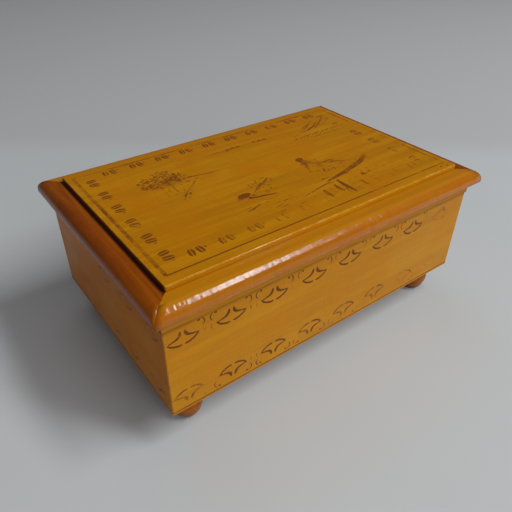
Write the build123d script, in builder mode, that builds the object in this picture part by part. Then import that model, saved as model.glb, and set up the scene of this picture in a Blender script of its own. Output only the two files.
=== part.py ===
"""A wooden cylinder music box with a hinged, moulded lid and turned feet, in millimetres.

The case is four mitred walls on a thin bottom board. A partition and a glass panel close off the left-hand
compartment, which holds the movement: a spring barrel at the back, the pinned cylinder with its comb, and the
governor train at the front. The right-hand compartment is lined for trinkets. The movement is wound by a
butterfly key under the box, and a sprung rod, pressed down by the closed lid, stops the governor.

+X runs along the long side, +Y from front to back, +Z up. The origin is on the table, under the box's centre.
"""

import os
from math import acos, atan2, cos, degrees, hypot, pi, radians, sin, sqrt, tan

from build123d import *

os.makedirs("parts", exist_ok=True)

# ---------------------------------------------------------------- driving dimensions: the case
CASE_LENGTH = 130.0
CASE_WIDTH = 83.0
WALL = 6.0
WALL_HEIGHT = 32.0
BOARD = 2.5
BOARD_EDGE = 1.3  # the strip of the bottom board that shows below the walls
RABBET = 2.5  # how far the walls reach over the board's edge
FOOT_HEIGHT = 12.0
FOOT_RADIUS = 5.4
FOOT_INSET_X, FOOT_INSET_Y = 8.8, 8.3
EDGE_ROUND = 0.5

# ---------------------------------------------------------------- driving dimensions: the lid
LID_HEIGHT = 11.0
OVERHANG = 3.2  # the moulding's nose, outside the case wall
PANEL_INSET = 4.0  # the raised panel's edge, inside the case wall's outer face
PANEL_STEP = 1.8
LID_BED = 0.6  # depth of the bed for the lining in the lid's underside
LID_OPENING = 100.0  # degrees

# ---------------------------------------------------------------- levels and plan lines that follow
HALF_L = CASE_LENGTH / 2
HALF_W = CASE_WIDTH / 2
INNER_L = HALF_L - WALL
INNER_W = HALF_W - WALL
BOARD_TOP = FOOT_HEIGHT + BOARD
RIM = BOARD_TOP + WALL_HEIGHT
LID_TOP = RIM + LID_HEIGHT
BAND = LID_TOP - PANEL_STEP  # the moulding's flat band, beside the raised panel

# ---------------------------------------------------------------- compartments
PARTITION = 4.0
PARTITION_X = -5.0  # its left face
PARTITION_TOP = RIM - 2.0
GLASS = 1.6
GLASS_Z = 40.6
LEDGE_WIDTH = 2.5
LEDGE_HEIGHT = 3.0
GAP = 0.3  # fitting gap round the glass and the linings
LINING = 1.2
LINING_TOP = RIM - 3.0
FLOOR_PAD = 2.0

# ---------------------------------------------------------------- movement: bedplate and axes
BED_LEFT, BED_RIGHT = -57.0, -8.0
BED_FRONT, BED_BACK = -34.6, 33.0
BED = 3.0
BOSS = 1.0
BED_TOP = BOARD_TOP + BOSS + BED
PLATE = 1.2
RUNNING = 0.03  # radial clearance of a shaft in its bearing

AXIS_X, AXIS_Z = -43.5, BED_TOP + 10.0  # the cylinder's axis
CYL_RADIUS = 6.5
CYL_WALL = 0.7
CYL_FRONT, CYL_BACK = -20.4, 4.6
PIN_RADIUS = 0.2
PIN_TIP = 7.3  # radius of the circle that the pins' tips run on
ARBOR = 1.0

TEETH = 24  # teeth of the comb
TOOTH_PITCH = 1.0
COMB_FRONT = -20.0
COMB_TIP_X = AXIS_X + PIN_TIP + 0.15
COMB_ROOT_X, COMB_BACK_X = -24.5, -12.5
COMB_TOP = AXIS_Z + 0.6
COMB_TOOTH, COMB_BASE = 1.0, 1.8  # thicknesses

# ---------------------------------------------------------------- movement: gears
BARREL_Y = 20.5
CONTRATE_TEETH, DRIVE_PINION_TEETH, DRIVE_MODULE = 36, 12, 0.6
GREAT_TEETH, PINION_TEETH, GREAT_MODULE = 40, 10, 0.4
SECOND_TEETH, SECOND_MODULE = 36, 0.35
WORM_WHEEL_TEETH, WORM_MODULE = 24, 0.4
PRESSURE = radians(20)

GREAT_Y = -23.4  # back faces of the wheels, which are made towards the front
SECOND_Y = -25.6
WORM_WHEEL_Y = -27.8
WHEEL = 1.2
REAR_PLATE_Y = -21.6
FRONT_PLATE_Y = -30.9

great_to_second = GREAT_MODULE * (GREAT_TEETH + PINION_TEETH) / 2
second_to_third = SECOND_MODULE * (SECOND_TEETH + PINION_TEETH) / 2
SECOND_FALL = radians(-12)  # direction from the cylinder's axis to the second arbor
THIRD_RISE = radians(10)  # and from the second to the third
SECOND_X = AXIS_X + great_to_second * cos(SECOND_FALL)
SECOND_Z = AXIS_Z + great_to_second * sin(SECOND_FALL)
THIRD_X = SECOND_X + second_to_third * cos(THIRD_RISE)
THIRD_Z = SECOND_Z + second_to_third * sin(THIRD_RISE)

WORM_RADIUS = 1.5
WORM_PITCH = pi * WORM_MODULE
WORM_TURNS = 6
WORM_X = THIRD_X + WORM_MODULE * WORM_WHEEL_TEETH / 2 + WORM_RADIUS
WORM_Y = WORM_WHEEL_Y - WHEEL / 2
STAFF = 0.6
PIVOT = 0.4

DISC_Z, DISC, DISC_RADIUS = 21.0, 0.6, 3.2  # the disc that the stop finger rubs on
FAN_Z, FAN_HEIGHT, FAN_RADIUS = 33.7, 3.1, 5.4
BRACKET_X, BRACKET_TOP = -11.7, 38.7
BRACKET_FRONT, BRACKET_DEPTH = -31.4, 6.0

# ---------------------------------------------------------------- stop rod
ROD_X, ROD_Y, ROD = -14.5, -33.1, 0.6
ROD_TRAVEL = 2.5
ROD_TOP = RIM - 0.15
EAR_Z, COLLAR_Z = 28.0, 34.0

# ---------------------------------------------------------------- spring barrel and winding
WINDER = 2.0
BARREL_RADIUS = 9.0
BARREL_TOP = 36.0
CONTRATE_TOP = AXIS_Z - DRIVE_MODULE * DRIVE_PINION_TEETH / 2 - 0.8  # the wheel's face, below its teeth
BRIDGE_Z = 37.4
KEY_TOP, KEY_BOTTOM = 10.4, 2.4

# ---------------------------------------------------------------- hinges
HINGE_XS = (-40.0, 40.0)
HINGE_LENGTH = 18.0
KNUCKLE = 1.3
HINGE_PIN = 0.6
LEAF = 0.8
LEAF_DEPTH = 3.9
PIVOT_OUT = 1.4  # the hinge axis, behind the back wall's face
PIVOT_Y = HALF_W + PIVOT_OUT
LEAF_SCREW_Y = HALF_W - 2.1


def keep(piece, name):
    """Names a finished piece and writes it as one STEP file."""
    piece.part.label = name
    export_step(piece.part, f"parts/{name}.step")


def block(x0, x1, y0, y1, z0, z1, mode=Mode.ADD):
    """A box from its corners, for use inside a BuildPart block."""
    with Locations(((x0 + x1) / 2, (y0 + y1) / 2, (z0 + z1) / 2)):
        Box(x1 - x0, y1 - y0, z1 - z0, mode=mode)


def rod(x, y, z0, z1, radius, mode=Mode.ADD):
    """An upright cylinder, for use inside a BuildPart block."""
    with Locations((x, y, z0)):
        Cylinder(radius, z1 - z0, align=(Align.CENTER, Align.CENTER, Align.MIN), mode=mode)


def shaft(x, z, y0, y1, radius, mode=Mode.ADD):
    """A cylinder along Y, for use inside a BuildPart block."""
    with Locations(Location((x, y0, z), (-90, 0, 0))):
        Cylinder(radius, y1 - y0, align=(Align.CENTER, Align.CENTER, Align.MIN), mode=mode)


def cross_shaft(x0, x1, y, z, radius, mode=Mode.ADD):
    """A cylinder along X, for use inside a BuildPart block."""
    with Locations(Location((x0, y, z), (0, 90, 0))):
        Cylinder(radius, x1 - x0, align=(Align.CENTER, Align.CENTER, Align.MIN), mode=mode)


# ================================================================ case
def mitre_mask(half_long, half_short, depth, z0, height):
    """The trapezium of one side of a mitred frame: its outer edge along -Y, its ends at 45 degrees."""
    with BuildPart() as mask:
        with BuildSketch(Plane.XY.offset(z0)):
            Polygon(
                (-half_long, -half_short),
                (half_long, -half_short),
                (half_long - depth, -half_short + depth),
                (-half_long + depth, -half_short + depth),
                align=None,
            )
        extrude(amount=height)
    return mask.part


WALL_FOOT = FOOT_HEIGHT + BOARD_EDGE  # the walls' outer part comes down over the board's rabbeted edge
with BuildPart() as wall_ring:
    with BuildSketch(Plane.XY.offset(BOARD_TOP)):
        RectangleRounded(CASE_LENGTH, CASE_WIDTH, EDGE_ROUND)
        Rectangle(2 * INNER_L, 2 * INNER_W, mode=Mode.SUBTRACT)
    extrude(amount=WALL_HEIGHT)
    with BuildSketch(Plane.XY.offset(WALL_FOOT)):
        RectangleRounded(CASE_LENGTH, CASE_WIDTH, EDGE_ROUND)
        Rectangle(CASE_LENGTH - 2 * RABBET, CASE_WIDTH - 2 * RABBET, mode=Mode.SUBTRACT)
    extrude(amount=BOARD_TOP - WALL_FOOT)

SIDES = {
    "front": (0, HALF_L, HALF_W),
    "right": (90, HALF_W, HALF_L),
    "back": (180, HALF_L, HALF_W),
    "left": (270, HALF_W, HALF_L),
}
BRAD, BRAD_PROUD, BRAD_DEPTH = 0.5, 3.0, 2.0
BRAD_YS = (-18.0, 18.0)
BRAD_Z = GLASS_Z + GLASS + BRAD

for side, (turn, half_long, half_short) in SIDES.items():
    with BuildPart() as wall:
        add(wall_ring.part)
        add(
            mitre_mask(half_long, half_short, WALL, WALL_FOOT, RIM - WALL_FOOT).rotate(Axis.Z, turn),
            mode=Mode.INTERSECT,
        )
        if side == "back":
            for hinge_x in HINGE_XS:
                block(
                    hinge_x - HINGE_LENGTH / 2, hinge_x + HINGE_LENGTH / 2,
                    HALF_W - LEAF_DEPTH, HALF_W, RIM - LEAF, RIM, mode=Mode.SUBTRACT,
                )
                for dx in (-6, 6):
                    rod(hinge_x + dx, LEAF_SCREW_Y, RIM - 5, RIM, 0.9, mode=Mode.SUBTRACT)
        if side == "left":
            for y in BRAD_YS:
                cross_shaft(-INNER_L - BRAD_DEPTH, -INNER_L, y, BRAD_Z, BRAD, mode=Mode.SUBTRACT)
    keep(wall, f"wall_{side}")

with BuildPart() as partition:
    block(
        PARTITION_X, PARTITION_X + PARTITION, -INNER_W, INNER_W, BOARD_TOP, PARTITION_TOP
    )
    fillet(partition.edges().filter_by(Axis.Y).group_by(Axis.Z)[-1], 0.8)
    for y in BRAD_YS:
        cross_shaft(PARTITION_X, PARTITION_X + BRAD_DEPTH, y, BRAD_Z, BRAD, mode=Mode.SUBTRACT)
keep(partition, "partition")

# The movement stands on three bosses, and a screw comes up through the board into each.
BOSS_POINTS = ((-44.5, -29.5), (-12.5, 12.0), (-53.0, 6.0))
FEET = {
    "front_left": (-HALF_L + FOOT_INSET_X, -HALF_W + FOOT_INSET_Y),
    "front_right": (HALF_L - FOOT_INSET_X, -HALF_W + FOOT_INSET_Y),
    "back_left": (-HALF_L + FOOT_INSET_X, HALF_W - FOOT_INSET_Y),
    "back_right": (HALF_L - FOOT_INSET_X, HALF_W - FOOT_INSET_Y),
}
FOOT_SCREW, FOOT_SCREW_HEAD, FOOT_SCREW_CONE = 1.2, 2.3, 1.1

with BuildPart() as bottom_board:
    with BuildSketch(Plane.XY.offset(FOOT_HEIGHT)):
        RectangleRounded(CASE_LENGTH, CASE_WIDTH, EDGE_ROUND)
    extrude(amount=BOARD_EDGE)
    chamfer(bottom_board.faces().sort_by(Axis.Z)[0].edges(), 0.4)
    with BuildSketch(Plane.XY.offset(WALL_FOOT)):
        Rectangle(CASE_LENGTH - 2 * RABBET, CASE_WIDTH - 2 * RABBET)
    extrude(amount=BOARD_TOP - WALL_FOOT)
    rod(AXIS_X, BARREL_Y, FOOT_HEIGHT, BOARD_TOP, 4.5, mode=Mode.SUBTRACT)
    for x, y in BOSS_POINTS:
        rod(x, y, FOOT_HEIGHT, BOARD_TOP, 1.7, mode=Mode.SUBTRACT)
    with Locations(*[(x, y, BOARD_TOP) for x, y in FEET.values()]):
        CounterSinkHole(FOOT_SCREW, FOOT_SCREW_HEAD, depth=BOARD)
keep(bottom_board, "bottom_board")

# A turned foot: a flat pad, a full bun and a short neck.
PAD_RADIUS, NECK_RADIUS, NECK = 3.0, 3.9, 1.2
BULGE_Z = 5.9
for place, (x, y) in FEET.items():
    with BuildPart() as foot:
        with BuildSketch(Plane(origin=(x, y, 0), x_dir=(1, 0, 0), z_dir=(0, -1, 0))):
            with BuildLine():
                Line((0, 0), (PAD_RADIUS, 0))
                ThreePointArc((PAD_RADIUS, 0), (FOOT_RADIUS - 0.75, 2.6), (FOOT_RADIUS, BULGE_Z))
                ThreePointArc(
                    (FOOT_RADIUS, BULGE_Z),
                    (FOOT_RADIUS - 0.55, BULGE_Z + 3.0),
                    (NECK_RADIUS, FOOT_HEIGHT - NECK),
                )
                Line((NECK_RADIUS, FOOT_HEIGHT - NECK), (NECK_RADIUS, FOOT_HEIGHT))
                Line((NECK_RADIUS, FOOT_HEIGHT), (0, FOOT_HEIGHT))
                Line((0, FOOT_HEIGHT), (0, 0))
            make_face()
        revolve(axis=Axis((x, y, 0), (0, 0, 1)))
        rod(x, y, 5.5, FOOT_HEIGHT, FOOT_SCREW, mode=Mode.SUBTRACT)
    keep(foot, f"foot_{place}")

with BuildPart() as foot_screws:
    for x, y in FEET.values():
        rod(x, y, 5.5, BOARD_TOP, FOOT_SCREW)
        with Locations((x, y, BOARD_TOP - FOOT_SCREW_CONE / 2)):
            Cone(FOOT_SCREW, FOOT_SCREW_HEAD, FOOT_SCREW_CONE)
        block(x - 2.3, x + 2.3, y - 0.25, y + 0.25, BOARD_TOP - 0.5, BOARD_TOP, mode=Mode.SUBTRACT)
keep(foot_screws, "foot_screws")

# ================================================================ glass and linings
with BuildPart() as glass_ledges:
    for x in (-INNER_L, PARTITION_X - LEDGE_WIDTH):
        block(x, x + LEDGE_WIDTH, -INNER_W, INNER_W, GLASS_Z - LEDGE_HEIGHT, GLASS_Z)
keep(glass_ledges, "glass_ledges")

with BuildPart() as glass_cover:
    block(
        -INNER_L + GAP, PARTITION_X - GAP, -INNER_W + GAP, INNER_W - GAP, GLASS_Z, GLASS_Z + GLASS
    )
    block(ROD_X - 1.5, ROD_X + 1.5, -INNER_W, ROD_Y, GLASS_Z, GLASS_Z + GLASS, mode=Mode.SUBTRACT)
    rod(ROD_X, ROD_Y, GLASS_Z, GLASS_Z + GLASS, 1.5, mode=Mode.SUBTRACT)
    chamfer(glass_cover.faces().sort_by(Axis.Z)[-1].edges(), 0.2)
keep(glass_cover, "glass_cover")

with BuildPart() as glass_brads:
    for y in BRAD_YS:
        cross_shaft(-INNER_L - BRAD_DEPTH, -INNER_L + BRAD_PROUD, y, BRAD_Z, BRAD)
        cross_shaft(PARTITION_X - BRAD_PROUD, PARTITION_X + BRAD_DEPTH, y, BRAD_Z, BRAD)
keep(glass_brads, "glass_brads")

ROOM_LEFT, ROOM_RIGHT = PARTITION_X + PARTITION, INNER_L
with BuildPart() as lining_floor:
    block(
        ROOM_LEFT + GAP, ROOM_RIGHT - GAP, -INNER_W + GAP, INNER_W - GAP,
        BOARD_TOP, BOARD_TOP + FLOOR_PAD,
    )
    fillet(lining_floor.faces().sort_by(Axis.Z)[-1].edges(), 0.8)
keep(lining_floor, "lining_floor")

LININGS = {
    "front": (ROOM_LEFT + LINING, ROOM_RIGHT - LINING, -INNER_W, -INNER_W + LINING),
    "back": (ROOM_LEFT + LINING, ROOM_RIGHT - LINING, INNER_W - LINING, INNER_W),
    "left": (ROOM_LEFT, ROOM_LEFT + LINING, -INNER_W, INNER_W),
    "right": (ROOM_RIGHT - LINING, ROOM_RIGHT, -INNER_W, INNER_W),
}
for side, (x0, x1, y0, y1) in LININGS.items():
    with BuildPart() as lining:
        block(x0, x1, y0, y1, BOARD_TOP + FLOOR_PAD, LINING_TOP)
        fillet(lining.faces().sort_by(Axis.Z)[-1].edges(), 0.35)
    keep(lining, f"lining_{side}")

# ================================================================ lid
NOSE_Z = RIM + 5.2
LIP, LIP_HEIGHT = 0.3, 1.9  # the plain strip under the moulding: how proud of the wall, and how tall
ARRIS, ARRIS_DROP = 0.1, 0.7  # the nose's lower edge: how far inside and below the nose
COVE = 0.6  # how deep the hollow under the nose is, against a straight bevel
ROUND_START = 0.4  # where the band ends and the nose's rounding starts, inside the wall's face


def moulding_strip(half_long, half_short):
    """The front strip of a moulding for a case of these half sizes: band, rounded nose, cove and lip."""
    front = -half_short
    reach = half_long + OVERHANG
    inner, nose = front + PANEL_INSET, front - OVERHANG
    lip, lip_top = front - LIP, RIM + LIP_HEIGHT
    edge, edge_z = nose + ARRIS, NOSE_Z - ARRIS_DROP
    with BuildPart() as strip:
        with BuildSketch(Plane.YZ.offset(-reach)):
            with BuildLine():
                Line((inner, RIM), (lip, RIM))
                Line((lip, RIM), (lip, lip_top))
                ThreePointArc(
                    (lip, lip_top),
                    ((lip + edge) / 2 + COVE * 0.7, (lip_top + edge_z) / 2 + COVE * 0.7),
                    (edge, edge_z),
                )
                Line((edge, edge_z), (nose, NOSE_Z))
                ThreePointArc(
                    (nose, NOSE_Z),
                    (nose + 1.15, NOSE_Z + 2.85),
                    (front + ROUND_START, BAND),
                )
                Line((front + ROUND_START, BAND), (inner, BAND))
                Line((inner, BAND), (inner, RIM))
            make_face()
        extrude(amount=2 * reach)
        mask = mitre_mask(
            half_long + OVERHANG, half_short + OVERHANG, OVERHANG + PANEL_INSET, RIM, LID_HEIGHT
        )
        add(mask, mode=Mode.INTERSECT)
    return strip.part


KNUCKLE_RELIEF = KNUCKLE + 0.25
for side, (turn, half_long, half_short) in SIDES.items():
    with BuildPart() as moulding:
        add(moulding_strip(half_long, half_short).rotate(Axis.Z, turn))
        if side == "back":
            for hinge_x in HINGE_XS:
                x0, x1 = hinge_x - HINGE_LENGTH / 2, hinge_x + HINGE_LENGTH / 2
                block(x0, x1, HALF_W - LEAF_DEPTH, HALF_W, RIM, RIM + LEAF, mode=Mode.SUBTRACT)
                block(
                    x0 - GAP, x1 + GAP, HALF_W - 0.3, HALF_W + OVERHANG + 1,
                    RIM, RIM + KNUCKLE_RELIEF, mode=Mode.SUBTRACT,
                )
                for dx in (-6, 6):
                    rod(hinge_x + dx, LEAF_SCREW_Y, RIM, RIM + 5, 0.9, mode=Mode.SUBTRACT)
    keep(moulding, f"lid_moulding_{side}")

BOARD_L, BOARD_W = CASE_LENGTH - 2 * PANEL_INSET, CASE_WIDTH - 2 * PANEL_INSET
with BuildPart() as lid_panel:
    with BuildSketch(Plane.XY.offset(RIM)):
        Rectangle(BOARD_L, BOARD_W)
    extrude(amount=LID_HEIGHT)
    fillet(lid_panel.faces().sort_by(Axis.Z)[-1].edges(), EDGE_ROUND)
    # A shallow bed for the lining in the underside.
    block(
        -INNER_L + 1, INNER_L - 1, -INNER_W + 1, INNER_W - 1, RIM, RIM + LID_BED, mode=Mode.SUBTRACT
    )
keep(lid_panel, "lid_panel")

with BuildPart() as lid_lining:
    block(
        -INNER_L + 1 + GAP, INNER_L - 1 - GAP, -INNER_W + 1 + GAP, INNER_W - 1 - GAP,
        RIM, RIM + LID_BED,
    )
keep(lid_lining, "lid_lining")

# ================================================================ hinges
KNUCKLE_LENGTH = HINGE_LENGTH / 3
STOP_LIP, LIP = 1.79, 0.4
LIP_ANGLE = -34.0


def leaf(hinge_x, z0, z1, knuckle_spans, screw_top):
    """One hinge leaf: a plate with countersunk holes, and the knuckles that roll off its back edge."""
    with BuildPart() as made:
        block(
            hinge_x - HINGE_LENGTH / 2, hinge_x + HINGE_LENGTH / 2,
            HALF_W - LEAF_DEPTH, HALF_W - 0.3, z0, z1,
        )
        for x0, x1 in knuckle_spans:
            block(hinge_x + x0, hinge_x + x1, HALF_W - 0.5, PIVOT_Y, z0, z1)
            cross_shaft(hinge_x + x0, hinge_x + x1, PIVOT_Y, RIM, KNUCKLE)
        cross_shaft(
            hinge_x - HINGE_LENGTH / 2, hinge_x + HINGE_LENGTH / 2,
            PIVOT_Y, RIM, HINGE_PIN + RUNNING, mode=Mode.SUBTRACT,
        )
        face = Plane(
            origin=(hinge_x, LEAF_SCREW_Y, z1 if screw_top else z0),
            z_dir=(0, 0, 1 if screw_top else -1),
        )
        with Locations(face):
            with Locations((-6, 0), (6, 0)):
                CounterSinkHole(0.9, 1.7, depth=LEAF)
    return made.part


end = HINGE_LENGTH / 2
middle = KNUCKLE_LENGTH / 2
for place, hinge_x in zip(("left", "right"), HINGE_XS):
    with BuildPart() as case_leaf:
        spans = ((-end, -middle - 0.05), (middle + 0.05, end))
        add(leaf(hinge_x, RIM - LEAF, RIM, spans, True))
    keep(case_leaf, f"hinge_{place}_case_leaf")

    with BuildPart() as lid_leaf:
        add(leaf(hinge_x, RIM, RIM + LEAF, ((-middle + 0.05, middle - 0.05),), False))
        # A lip on the middle knuckle meets the back wall when the lid is fully open.
        lip_frame = Plane(
            origin=(hinge_x, PIVOT_Y, RIM),
            x_dir=(0, cos(radians(LIP_ANGLE)), sin(radians(LIP_ANGLE))),
            z_dir=(1, 0, 0),
        )
        with BuildSketch(lip_frame.offset(-middle + 0.05)):
            with Locations(((STOP_LIP + KNUCKLE - 0.3) / 2, 0)):
                Rectangle(STOP_LIP - KNUCKLE + 0.3, LIP)
        extrude(amount=2 * middle - 0.1)
    keep(lid_leaf, f"hinge_{place}_lid_leaf")

with BuildPart() as hinge_pins:
    for hinge_x in HINGE_XS:
        cross_shaft(hinge_x - end, hinge_x + end, PIVOT_Y, RIM, HINGE_PIN)
keep(hinge_pins, "hinge_pins")

for name, sign in (("case", -1), ("lid", 1)):
    with BuildPart() as leaf_screws:
        for hinge_x in HINGE_XS:
            for dx in (-6, 6):
                x = hinge_x + dx
                z0, z1 = sorted((RIM, RIM + sign * 5))
                rod(x, LEAF_SCREW_Y, z0, z1, 0.9)
                with Locations(Location((x, LEAF_SCREW_Y, RIM + sign * 0.4), (90 + sign * 90, 0, 0))):
                    Cone(0.9, 1.7, 0.8)
                block(
                    x - 1.7, x + 1.7, LEAF_SCREW_Y - 0.2, LEAF_SCREW_Y + 0.2,
                    *sorted((RIM, RIM + sign * 0.3)), mode=Mode.SUBTRACT,
                )
    keep(leaf_screws, f"hinge_screws_{name}")

# ================================================================ movement: bedplate and comb
COMB_SCREW_X = -17.5
COMB_SCREW_YS = (-16.0, -8.0, 0.0)
SCREW = 1.2
COMB_WIDTH = TEETH * TOOTH_PITCH
COMB_REAR = COMB_FRONT + COMB_WIDTH
COMB_SEAT = COMB_TOP - COMB_BASE
POST_FRONT, POST_BACK = 6.0, 7.8
PILLAR_X = -26.0
PILLAR_YS = (17.0, 24.0)
PILLAR = 2.3
REAR_FLANGE = (-49.0, -39.5, REAR_PLATE_Y, REAR_PLATE_Y + 4.2)
FRONT_FLANGE = (-37.0, -23.4, BED_FRONT + 0.4, FRONT_PLATE_Y - PLATE)
POST_FOOT = (-49.0, -38.0, 1.2, POST_FRONT)
REAR_SCREWS = ((-46.8, -19.3), (-41.6, -19.3))
FRONT_SCREWS = ((-35.0, -33.2), (-25.4, -33.2))
POST_SCREWS = ((-47.0, 3.4), (-40.0, 3.4))
BRACKET_SCREWS = ((-14.9, -26.8), (-14.9, -30.0))
SMALL_SCREW, SMALL_HEAD = 0.7, 1.05

with BuildPart() as bedplate:
    with BuildSketch(Plane.XY.offset(BED_TOP - BED)):
        with Locations(((BED_LEFT + BED_RIGHT) / 2, (BED_FRONT + BED_BACK) / 2)):
            RectangleRounded(BED_RIGHT - BED_LEFT, BED_BACK - BED_FRONT, 3)
    extrude(amount=BED)
    chamfer(bedplate.faces().sort_by(Axis.Z)[-1].edges(), 0.4)
    for x, y in BOSS_POINTS:
        rod(x, y, BOARD_TOP, BED_TOP - BED, 3.2)
        rod(x, y, BOARD_TOP, BED_TOP - 0.8, 1.5, mode=Mode.SUBTRACT)
    block(COMB_ROOT_X, COMB_BACK_X, COMB_FRONT, COMB_REAR, BED_TOP - 1, COMB_SEAT)
    for y in COMB_SCREW_YS:
        rod(COMB_SCREW_X, y, COMB_SEAT - 4, COMB_SEAT, SCREW, mode=Mode.SUBTRACT)
    for y in PILLAR_YS:
        rod(PILLAR_X, y, BED_TOP - 1, BRIDGE_Z, PILLAR)
        rod(PILLAR_X, y, BRIDGE_Z - 4, BRIDGE_Z, SCREW, mode=Mode.SUBTRACT)
    rod(AXIS_X, BARREL_Y, BED_TOP - BED, BED_TOP, WINDER + RUNNING, mode=Mode.SUBTRACT)
    rod(ROD_X, ROD_Y, BED_TOP - BED, BED_TOP, ROD + RUNNING, mode=Mode.SUBTRACT)
    for x, y in (*REAR_SCREWS, *FRONT_SCREWS, *POST_SCREWS, *BRACKET_SCREWS):
        rod(x, y, BED_TOP - 1.6, BED_TOP, SMALL_SCREW, mode=Mode.SUBTRACT)
keep(bedplate, "bedplate")

with BuildPart() as comb:
    block(COMB_TIP_X, COMB_BACK_X, COMB_FRONT, COMB_REAR, COMB_TOP - COMB_TOOTH, COMB_TOP)
    block(COMB_ROOT_X, COMB_BACK_X, COMB_FRONT, COMB_REAR, COMB_SEAT, COMB_TOP - COMB_TOOTH)
    for n in range(TEETH + 1):
        y = COMB_FRONT + n * TOOTH_PITCH
        root = COMB_ROOT_X - 0.4 - 0.2 * n  # bass teeth, at the front, are cut deeper
        if 0 < n < TEETH:
            block(COMB_TIP_X, root, y - 0.1, y + 0.1, COMB_SEAT, COMB_TOP, mode=Mode.SUBTRACT)
        block(
            COMB_TIP_X, COMB_TIP_X + 2.2, y - 0.26, y + 0.26, COMB_SEAT, COMB_TOP,
            mode=Mode.SUBTRACT,
        )
    for y in COMB_SCREW_YS:
        rod(COMB_SCREW_X, y, COMB_SEAT, COMB_TOP, SCREW + 0.1, mode=Mode.SUBTRACT)
keep(comb, "comb")

with BuildPart() as comb_weights:
    for n in range(8):
        y = COMB_FRONT + (n + 0.5) * TOOTH_PITCH
        block(
            COMB_TIP_X + 2.4, COMB_TIP_X + 5.6 - 0.25 * n, y - 0.32, y + 0.32,
            COMB_TOP - COMB_TOOTH - 2.4 + 0.2 * n, COMB_TOP - COMB_TOOTH,
        )
keep(comb_weights, "comb_weights")


def cheese_screw(x, y, seat, head_radius, head, radius, length):
    """A slotted cheese-head screw, its head standing on the seat, for use inside a BuildPart block."""
    rod(x, y, seat - length, seat, radius)
    rod(x, y, seat, seat + head, head_radius)
    block(
        x - head_radius, x + head_radius, y - 0.2, y + 0.2, seat + head * 0.5, seat + head,
        mode=Mode.SUBTRACT,
    )


with BuildPart() as comb_screws:
    for y in COMB_SCREW_YS:
        cheese_screw(COMB_SCREW_X, y, COMB_TOP, 2.1, 1.3, SCREW, 5)
keep(comb_screws, "comb_screws")

MOUNT_SCREW, MOUNT_HEAD, WASHER, WASHER_RADIUS = 1.45, 2.7, 0.5, 3.4
with BuildPart() as movement_screws:
    for x, y in BOSS_POINTS:
        rod(x, y, FOOT_HEIGHT - WASHER, BED_TOP - 1.2, MOUNT_SCREW)
        rod(x, y, FOOT_HEIGHT - WASHER - 1.8, FOOT_HEIGHT - WASHER, MOUNT_HEAD)
        block(
            x - 2.7, x + 2.7, y - 0.35, y + 0.35, FOOT_HEIGHT - WASHER - 1.8,
            FOOT_HEIGHT - WASHER - 1.0, mode=Mode.SUBTRACT,
        )
        rod(x, y, FOOT_HEIGHT - WASHER, FOOT_HEIGHT, WASHER_RADIUS)
keep(movement_screws, "movement_screws")


# ================================================================ gears
def involute_half_angle(r, pitch_r, base_r, half_at_pitch):
    """Half the angle of an involute tooth at radius r; inside the base circle the flank is radial."""
    r = max(r, base_r)
    a, a_pitch = acos(base_r / r), acos(base_r / pitch_r)
    return half_at_pitch + (tan(a_pitch) - a_pitch) - (tan(a) - a)


def gear_face(teeth, module, phase, backlash, tip=0.85, root=1.15):
    """The face of a spur gear about the origin, with the middle of one tooth at the angle phase, in radians.

    backlash is taken off each tooth's thickness at the pitch circle; tip and root are heights in modules.
    """
    pitch_r = module * teeth / 2
    base_r = pitch_r * cos(PRESSURE)
    tip_r, root_r = pitch_r + tip * module, pitch_r - root * module
    half_at_pitch = (pi * module / 2 - backlash) / (2 * pitch_r)
    radii = (root_r, (root_r + tip_r) / 2, tip_r)
    halves = [involute_half_angle(r, pitch_r, base_r, half_at_pitch) for r in radii]

    def point(r, angle):
        return (r * cos(angle), r * sin(angle))

    with BuildSketch() as outline:
        with BuildLine():
            for n in range(teeth):
                middle = phase + 2 * pi * n / teeth
                gap = middle + pi / teeth
                following = middle + 2 * pi / teeth
                rise = [point(r, middle - h) for r, h in zip(radii, halves)]
                fall = [point(r, middle + h) for r, h in zip(radii, halves)]
                ThreePointArc(*rise)
                ThreePointArc(rise[2], point(tip_r, middle), fall[2])
                ThreePointArc(*reversed(fall))
                ThreePointArc(fall[0], point(root_r, gap), point(root_r, following - halves[0]))
        make_face()
    return outline.sketch


def wheel(x, z, y_back, width, face):
    """A gear face placed at (x, z), made from its back face y_back towards the front."""
    with BuildPart() as made:
        with BuildSketch(Plane.XZ.offset(-y_back)):
            with Locations((x, z)):
                add(face)
        extrude(amount=width)
    return made.part


BACKLASH = 0.10
toward_second = atan2(SECOND_Z - AXIS_Z, SECOND_X - AXIS_X)
toward_third = atan2(THIRD_Z - SECOND_Z, THIRD_X - SECOND_X)

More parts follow.
